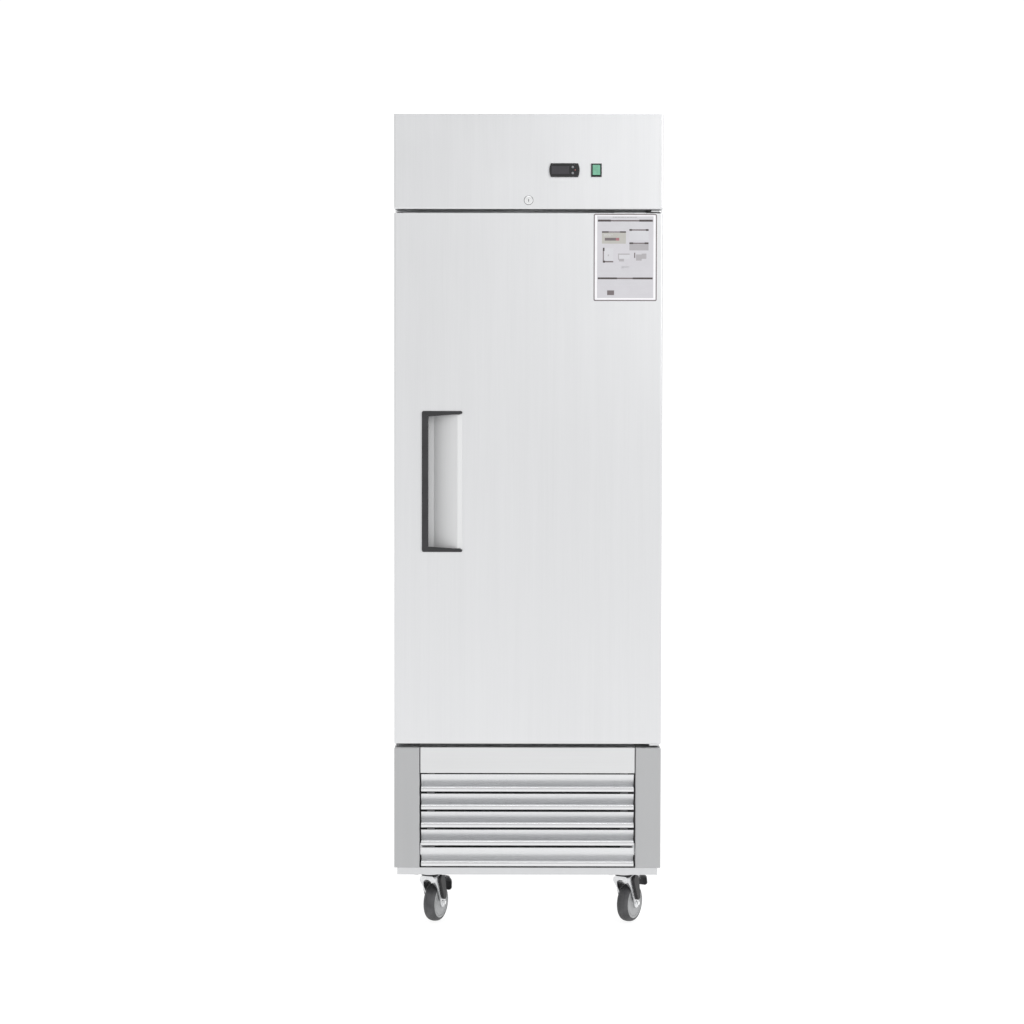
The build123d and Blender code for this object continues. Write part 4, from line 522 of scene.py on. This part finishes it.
def keyMarks():
    # An arrow on each key, and a small lamp beside them
    for name, sign in (("up_key", 1), ("down_key", -1)):
        low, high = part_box(name)
        cx, cz = (low.x + high.x) / 2, (low.z + high.z) / 2
        size = controls["markSize"]
        bm = bmesh.new()
        outline = [(cx - size, cz - sign * size * 0.55), (cx + size, cz - sign * size * 0.55),
                   (cx, cz + sign * size * 0.85)]
        addPrism(bm, outline, low.y + 0.0001, low.y - controls["markProud"])
        keepPiece(bm, name + "_mark", "greyPlastic", name, smooth=False)
    low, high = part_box("controller_housing")
    upLow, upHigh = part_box("up_key")
    x = (upLow.x + upHigh.x) / 2 + controls["lampOffset"][0]
    z = (low.z + high.z) / 2
    bm = bmesh.new()
    radius = controls["lampRadius"]
    profile = [(0.0002, -0.0006), (radius * 0.6, -0.0005), (radius, 0.0), (radius, 0.0008), (0.0002, 0.0008)]
    addTurned(bm, profile, 20)
    turn = Matrix.Translation((x, low.y, z)) @ Matrix.Rotation(math.radians(90), 4, "Z")
    keepPiece(bm, "controller_lamp", "redLamp", "cabinet", turn)


# Sizes of the black ring painted as shadow round the lock's rim, and of the dark block painted as shade in the
# keyway
lockDetails = {"shadowRingHole": 0.0106, "shadowRingRadius": 0.0119, "shadowRingThick": 0.0005, "shadowRingEdge": 0.0002,
               "shadowRingGap": 0.00002, "keyHalf": (0.0012, 0.0031), "keywayShadow": 0.0012, "keywayShadowSunk": 0.0002}


def dressLock():
    # A thin black ring under the lock's flange, a painted shadow round its rim, and a dark block in the keyway,
    # painted shade in the slot
    low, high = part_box("lock_housing")
    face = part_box("header_panel")[0].y
    cx, cz = (low.x + high.x) / 2, (low.z + high.z) / 2
    # The black ring is a painted shadow round the flange's rim
    shadowRing = bmesh.new()
    inner, outer = lockDetails["shadowRingHole"], lockDetails["shadowRingRadius"]
    thick, gap = lockDetails["shadowRingThick"], lockDetails["shadowRingGap"]
    addTurned(shadowRing, [(inner, -thick), (outer - lockDetails["shadowRingEdge"], -thick), (outer, -thick * 0.6),
                     (outer, -gap), (inner, -gap)], 64)
    turn = Matrix.Translation((cx, face, cz)) @ Matrix.Rotation(math.radians(90), 4, "Z")
    keepPiece(shadowRing, "lock_rim_painted_shadow", "blackPlastic", "cabinet", turn)
    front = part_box("lock_plug")[0].y + lockDetails["keywayShadowSunk"]
    back = front + lockDetails["keywayShadow"]
    width, height = lockDetails["keyHalf"]
    # The dark block is painted shade in the keyway slot
    keywayShadow = bmesh.new()
    addBlock(keywayShadow, (cx - width, front, cz - height), (cx + width, back, cz + height))
    keepPiece(keywayShadow, "keyway_painted_shadow", "blackPlastic", "lock_plug", smooth=False)


keyMarks()
dressLock()
print("controls marked")


# Air filter: a dark pleated pad that stands behind the grille

filterPad = {"behind": 0.012, "thick": 0.005, "pleat": 0.014, "edge": 0.001}


def airFilter():
    low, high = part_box("louvre_grille")
    start = high.y + filterPad["behind"]
    thick, pleat, edge = filterPad["thick"], filterPad["pleat"], filterPad["edge"]
    bm = bmesh.new()
    x0, x1 = low.x + edge, high.x - edge
    count = int((x1 - x0) / pleat)
    outline = []
    for n in range(count + 1):
        outline.append((x0 + (x1 - x0) * n / count, start + (thick if n % 2 else 0.0)))
    back = [(x, y + 0.002) for x, y in reversed(outline)]
    rings = [[bm.verts.new((x, y, z)) for x, y in outline + back] for z in (low.z + 0.004, high.z + 0.004)]
    bm.faces.new(rings[0])
    bm.faces.new(rings[1])
    total = len(outline + back)
    for n in range(total):
        m = (n + 1) % total
        bm.faces.new((rings[0][n], rings[0][m], rings[1][m], rings[1][n]))
    keepPiece(bm, "air_filter", "filterFelt", "cabinet", smooth=False)


airFilter()
print("air filter placed")


# Casters: turned wheels, pressed forks, covers and axle bolts, in the caster's own frame (X along the axle)

casterNames = ("front_left", "front_right", "rear_left", "rear_right")
wheelShape = {
    "tyre": [(0.0395, -0.0130), (0.0410, -0.0154), (0.0425, -0.0156), (0.0446, -0.0146), (0.0466, -0.0128),
             (0.0482, -0.0102), (0.0491, -0.0076), (0.0494, -0.0060), (0.0489, -0.0054), (0.0490, -0.0046),
             (0.0497, -0.0040), (0.0500, -0.0012), (0.0495, 0.0), (0.0500, 0.0012), (0.0497, 0.0040),
             (0.0490, 0.0046), (0.0489, 0.0054), (0.0494, 0.0060), (0.0491, 0.0076), (0.0482, 0.0102),
             (0.0466, 0.0128), (0.0446, 0.0146), (0.0425, 0.0156), (0.0410, 0.0154), (0.0395, 0.0130)],
    "hub": [(0.0051, -0.0180), (0.0125, -0.0180), (0.0136, -0.0172), (0.0146, -0.0150), (0.0185, -0.0138),
            (0.0300, -0.0138), (0.0318, -0.0146), (0.0330, -0.0146), (0.0336, -0.0132), (0.0352, -0.0132),
            (0.0358, -0.0150), (0.0396, -0.0154), (0.0405, -0.0148), (0.0405, 0.0148), (0.0396, 0.0154),
            (0.0358, 0.0150), (0.0352, 0.0132), (0.0336, 0.0132), (0.0330, 0.0146), (0.0318, 0.0146),
            (0.0300, 0.0138), (0.0185, 0.0138), (0.0146, 0.0150), (0.0136, 0.0172), (0.0125, 0.0180),
            (0.0051, 0.0180)],
}
forkShape = {"half": 0.0205, "crown": 0.1265, "corner": 0.008, "sheet": 0.003, "axle": (0.034, 0.050),
             "end": 0.0120, "front": -0.0180, "back": 0.0460, "shoulder": 0.1150, "lip": 0.0025,
             "archLow": 0.0900, "archHigh": 0.1185, "archHalf": 0.0184}
coverShape = {"inner": 0.0221, "outer": 0.0285, "edge": 0.0015, "top": (0.0190, 0.1160, 0.0140),
              "bottom": (0.0335, 0.0680, 0.0090)}
boltShape = {"flat": 0.0046, "head": 0.0050, "washer": 0.0066}


def jointOf(name):
    return next(j for j in frame["joints"] if j["name"] == name)


def casterPlace(name):
    # The matrix from the caster's own frame, whose origin is on the floor below its swivel axis
    x, y, z = jointOf(name + "_swivel")["pos_m"]
    axle = jointOf(name + "_roll")["axis"]
    turn = math.atan2(axle[1], axle[0])
    return Matrix.Translation((x, y, 0)) @ Matrix.Rotation(turn, 4, "Z")


def turnedWheel(name):
    axleY, axleZ = forkShape["axle"]
    place = casterPlace(name) @ Matrix.Translation((0, axleY, axleZ))
    tyre = bmesh.new()
    addTurned(tyre, wheelShape["tyre"], 96)
    tyrePiece = keepPiece(tyre, name + "_tyre", "tyreRubber", name + "_wheel", place)
    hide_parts(name + "_wheel")
    hub = bmesh.new()
    addTurned(hub, wheelShape["hub"], 96)
    keepPiece(hub, name + "_hub", "hubNylon", name + "_wheel", place)


def forkEdges(z):
    # Front and back limits of the fork's sheet at a height
    axleY, axleZ = forkShape["axle"]
    end = forkShape["end"]
    if z < axleZ:
        half = math.sqrt(max(end ** 2 - (axleZ - z) ** 2, 0.000001))
        return axleY - half, axleY + half
    share = min((z - axleZ) / (forkShape["shoulder"] - axleZ), 1.0)
    front = axleY - end + (forkShape["front"] - axleY + end) * share ** 1.7
    back = axleY + end + (forkShape["back"] - axleY - end) * share
    return front, back


def forkPath():
    # The middle line of the pressed sheet: up one leg, over the crown and down the other
    half, crown, corner = forkShape["half"], forkShape["crown"], forkShape["corner"]
    bottom = forkShape["axle"][1] - forkShape["end"] + 0.0003
    rise = [bottom + (crown - corner - bottom) * n / 30 for n in range(31)]
    left = [(-half, z) for z in rise]
    bend = []
    for n in range(1, 7):
        a = math.radians(180 - 90 * n / 6)
        bend.append((-half + corner + corner * math.cos(a), crown - corner + corner * math.sin(a)))
    across = [(-half + corner + (half - corner) * 2 * n / 6, crown) for n in range(1, 6)]
    halfPath = left + bend + across
    mirrorPath = [(-x, z) for x, z in reversed(left + bend)]
    return halfPath + mirrorPath


def forkArch(bm, edge):
    # The folded front of the fork: a lip up each leg that widens into an arch under the crown
    low, high, half = forkShape["archLow"], forkShape["archHigh"], forkShape["archHalf"]
    lengths = [0.0]
    for here, there in zip(edge, edge[1:]):
        both = here.co.z >= low and there.co.z >= low
        lengths.append(lengths[-1] + ((there.co - here.co).length if both else 0.0))
    rows = []
    for vert, along in zip(edge, lengths):
        side = 1 if vert.co.x > 0 else -1
        if vert.co.z < low:
            x, z = vert.co.x - side * forkShape["lip"], vert.co.z
        else:
            a = math.pi * (1 - along / lengths[-1])
            x, z = half * math.cos(a), low + (high - low) * math.sin(a)
        y = forkEdges(z)[0]
        middle = ((vert.co.x + x) / 2, (vert.co.y + y) / 2, (vert.co.z + z) / 2)
        rows.append([vert, bm.verts.new(middle), bm.verts.new((x, y, z))])
    return rows


def pressedFork(name):
    place = casterPlace(name)
    bm = bmesh.new()
    columns = 6
    rows = []
    for x, z in forkPath():
        front, back = forkEdges(z)
        rows.append([bm.verts.new((x, front + (back - front) * n / columns, z)) for n in range(columns + 1)])
    for here, there in zip(rows, rows[1:]):
        for n in range(columns):
            bm.faces.new((here[n], here[n + 1], there[n + 1], there[n]))
    archRows = forkArch(bm, [row[0] for row in rows])
    for here, there in zip(archRows, archRows[1:]):
        for n in range(len(here) - 1):
            bm.faces.new((here[n], here[n + 1], there[n + 1], there[n]))
    fork = keepPiece(bm, name + "_pressed_fork", "zinc", name + "_fork", place)
    sheet = fork.modifiers.new("sheet", "SOLIDIFY")
    sheet.thickness = forkShape["sheet"]
    sheet.offset = 0.0
    addBevel(fork, 0.0006, 2, 50)
    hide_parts(name + "_fork")

    ring = bmesh.new()
    profile = [(0.0062, 0.1281), (0.0225, 0.1281), (0.0230, 0.1286), (0.0230, 0.1302), (0.0222, 0.1308),
               (0.0216, 0.1313), (0.0180, 0.1314), (0.0062, 0.1314)]
    addTurned(ring, profile, 64)
    upright = place @ Matrix.Rotation(math.radians(-90), 4, "Y")
    keepPiece(ring, name + "_swivel_ring", "blackNylon", name + "_fork", upright)


def legCover(name, side):
    # A moulded cover down the outside of a leg: the hull of two circles
    yTop, zTop, rTop = coverShape["top"]
    yLow, zLow, rLow = coverShape["bottom"]
    run = Vector((yLow - yTop, zLow - zTop))
    lean = math.atan2(run.y, run.x)
    spread = math.acos((rTop - rLow) / run.length)
    outline = []
    for n in range(15):
        a = lean + spread + (2 * math.pi - 2 * spread) * n / 14
        outline.append((yTop + rTop * math.cos(a), zTop + rTop * math.sin(a)))
    for n in range(11):
        a = lean - spread + 2 * spread * n / 10
        outline.append((yLow + rLow * math.cos(a), zLow + rLow * math.sin(a)))
    bm = bmesh.new()
    rings = []
    edge = coverShape["edge"]
    for x, inset in ((coverShape["inner"], 0.0), (coverShape["outer"] - edge, 0.0),
                     (coverShape["outer"], edge)):
        cy, cz = (yTop + yLow) / 2, (zTop + zLow) / 2
        ring = []
        for y, z in outline:
            out = Vector((y - cy, z - cz))
            out = out * (1 - inset / out.length)
            ring.append(bm.verts.new((side * x, cy + out.x, cz + out.y)))
        rings.append(ring)
    bm.faces.new(rings[0])
    bm.faces.new(rings[-1])
    for here, there in zip(rings, rings[1:]):
        for n in range(len(outline)):
            m = (n + 1) % len(outline)
            bm.faces.new((here[n], here[m], there[m], there[n]))
    label = "_right_leg_cover" if side > 0 else "_left_leg_cover"
    cover = keepPiece(bm, name + label, "blackNylon", name + "_fork", casterPlace(name))
    addBevel(cover, 0.0006, 2, 40)


def axleBolt(name):
    # A six sided head and a nut over washers, one each side, on one shank
    axleY, axleZ = forkShape["axle"]
    place = casterPlace(name) @ Matrix.Translation((0, axleY, axleZ))
    face = forkShape["half"] + forkShape["sheet"] / 2
    bm = bmesh.new()
    washer = boltShape["washer"]
    flat = boltShape["flat"]
    addTurned(bm, [(0.0002, -face - 0.004), (0.0048, -face - 0.004), (0.0048, face + 0.002),
                   (0.0002, face + 0.002)], 32)
    for side in (-1, 1):
        addTurned(bm, [(0.0049, side * face), (washer, side * face), (washer, side * (face + 0.0012)),
                       (0.0049, side * (face + 0.0012))], 40)
        start = face + 0.0012
        depth = boltShape["head"]
        rings = []
        for along, share in ((start, 1.0), (start + depth * 0.75, 1.0), (start + depth, 0.86)):
            corner = flat / 0.866 * share
            rings.append([bm.verts.new((side * along, corner * math.cos(math.radians(60 * n + 12)),
                                        corner * math.sin(math.radians(60 * n + 12)))) for n in range(6)])
        bm.faces.new(rings[0])
        bm.faces.new(rings[-1])
        for here, there in zip(rings, rings[1:]):
            for n in range(6):
                m = (n + 1) % 6
                bm.faces.new((here[n], here[m], there[m], there[n]))
    bolt = keepPiece(bm, name + "_axle_bolt", "chrome", name + "_fork", place, smooth=False)
    addBevel(bolt, 0.0004, 2, 30)


for casterName in casterNames:
    turnedWheel(casterName)
    pressedFork(casterName)
    axleBolt(casterName)
    if casterName.startswith("front"):
        legCover(casterName, 1)
        legCover(casterName, -1)
print("casters made:", len(casterNames))


# Camera

cameraSettings = {"place": (-0.041, -5.393, 1.248), "tiltDown": 1.93, "roll": 0.10, "lens": 68.7}


def placeCamera():
    lens = bpy.data.cameras.new("camera")
    lens.lens = cameraSettings["lens"]
    lens.sensor_width = 36.0
    lens.clip_end = 100.0
    eye = bpy.data.objects.new("camera", lens)
    bpy.context.scene.collection.objects.link(eye)
    level = Matrix.Rotation(math.radians(90 - cameraSettings["tiltDown"]), 4, "X")
    roll = Matrix.Rotation(math.radians(cameraSettings["roll"]), 4, "Z")
    eye.matrix_world = Matrix.Translation(cameraSettings["place"]) @ level @ roll
    bpy.context.scene.camera = eye


placeCamera()
print("camera placed")


# Studio: a pale floor, a pale backdrop all round and soft lights

studio = {
    "floorReach": 30.0,
    "floorColour": (0.26, 0.26, 0.26),
    "floorGlow": 0.98,
    "floorShade": 0.88,
    "backdrop": 1.06,
    "front": 0.97,
    "frontHigh": 0.74,
    "leftShade": 0.93,
    "rightShade": 1.03,
}
lamps = {
    "overhead": {"place": (0.4, 0.2, 4.2), "aim": (0.0, 0.1, 0.0), "size": (3.0, 3.0), "power": 60},
    "rightFront": {"place": (2.6, -3.6, 2.9), "aim": (0.0, -0.3, 1.2), "size": (1.4, 2.0), "power": 40},
}


def makeFloor():
    bm = bmesh.new()
    reach = studio["floorReach"]
    addBlock(bm, (-reach, -reach, -0.02), (reach, reach, 0.0))
    mesh = bpy.data.meshes.new("floor")
    bm.to_mesh(mesh)
    bm.free()
    floor = bpy.data.objects.new("floor", mesh)
    bpy.context.scene.collection.objects.link(floor)
    material, tree, shader = startMaterial("paleFloor", {"Roughness": 0.8, "Specular IOR Level": 0.2,
                                                         "Emission Strength": studio["floorGlow"]})
    even = studio["floorShade"]
    shade = remap(tree, noise(tree, (1.5, 1.5, 1.5), 3.0), 0.99 * even, 1.01 * even)
    tree.links.new(tinted(tree, (1.0, 1.0, 1.0), shade), shader.inputs["Emission Color"])
    connect(tree, shader, tinted(tree, studio["floorColour"], shade))
    mesh.materials.append(material)


def makeBackdrop():
    # A pale surround: white behind the object, and in front a little dimmer above and to the left
    world = bpy.data.worlds.new("studio")
    bpy.context.scene.world = world
    world.use_nodes = True
    tree = world.node_tree
    tree.nodes.clear()
    end = addNode(tree, "ShaderNodeOutputWorld")
    light = addNode(tree, "ShaderNodeBackground", {"Color": (1.0, 1.0, 1.0, 1.0)})
    coords = addNode(tree, "ShaderNodeTexCoord")
    axes = addNode(tree, "ShaderNodeSeparateXYZ")
    tree.links.new(coords.outputs["Generated"], axes.inputs[0])
    across = remap(tree, axes.outputs["X"], studio["leftShade"], studio["rightShade"], -0.7, 0.7)
    upward = remap(tree, axes.outputs["Z"], studio["front"], studio["frontHigh"], 0.0, 0.3)
    front = multiply(tree, upward, across)
    behind = remap(tree, axes.outputs["Y"], 0.0, 1.0, -0.2, 0.25)
    blend = addNode(tree, "ShaderNodeMix", data_type="FLOAT")
    tree.links.new(behind, blend.inputs["Factor"])
    tree.links.new(front, blend.inputs["A"])
    blend.inputs["B"].default_value = studio["backdrop"]
    tree.links.new(blend.outputs["Result"], light.inputs["Strength"])
    tree.links.new(light.outputs[0], end.inputs[0])


def hangLamps():
    for name, lamp in lamps.items():
        data = bpy.data.lights.new(name, "AREA")
        data.shape = "RECTANGLE"
        data.size, data.size_y = lamp["size"]
        data.energy = lamp["power"]
        holder = bpy.data.objects.new(name, data)
        holder.location = lamp["place"]
        aim = Vector(lamp["aim"]) - Vector(lamp["place"])
        holder.rotation_euler = aim.to_track_quat("-Z", "Y").to_euler()
        bpy.context.scene.collection.objects.link(holder)


makeFloor()
makeBackdrop()
hangLamps()
bpy.context.scene.view_settings.view_transform = "Standard"
print("studio lit")
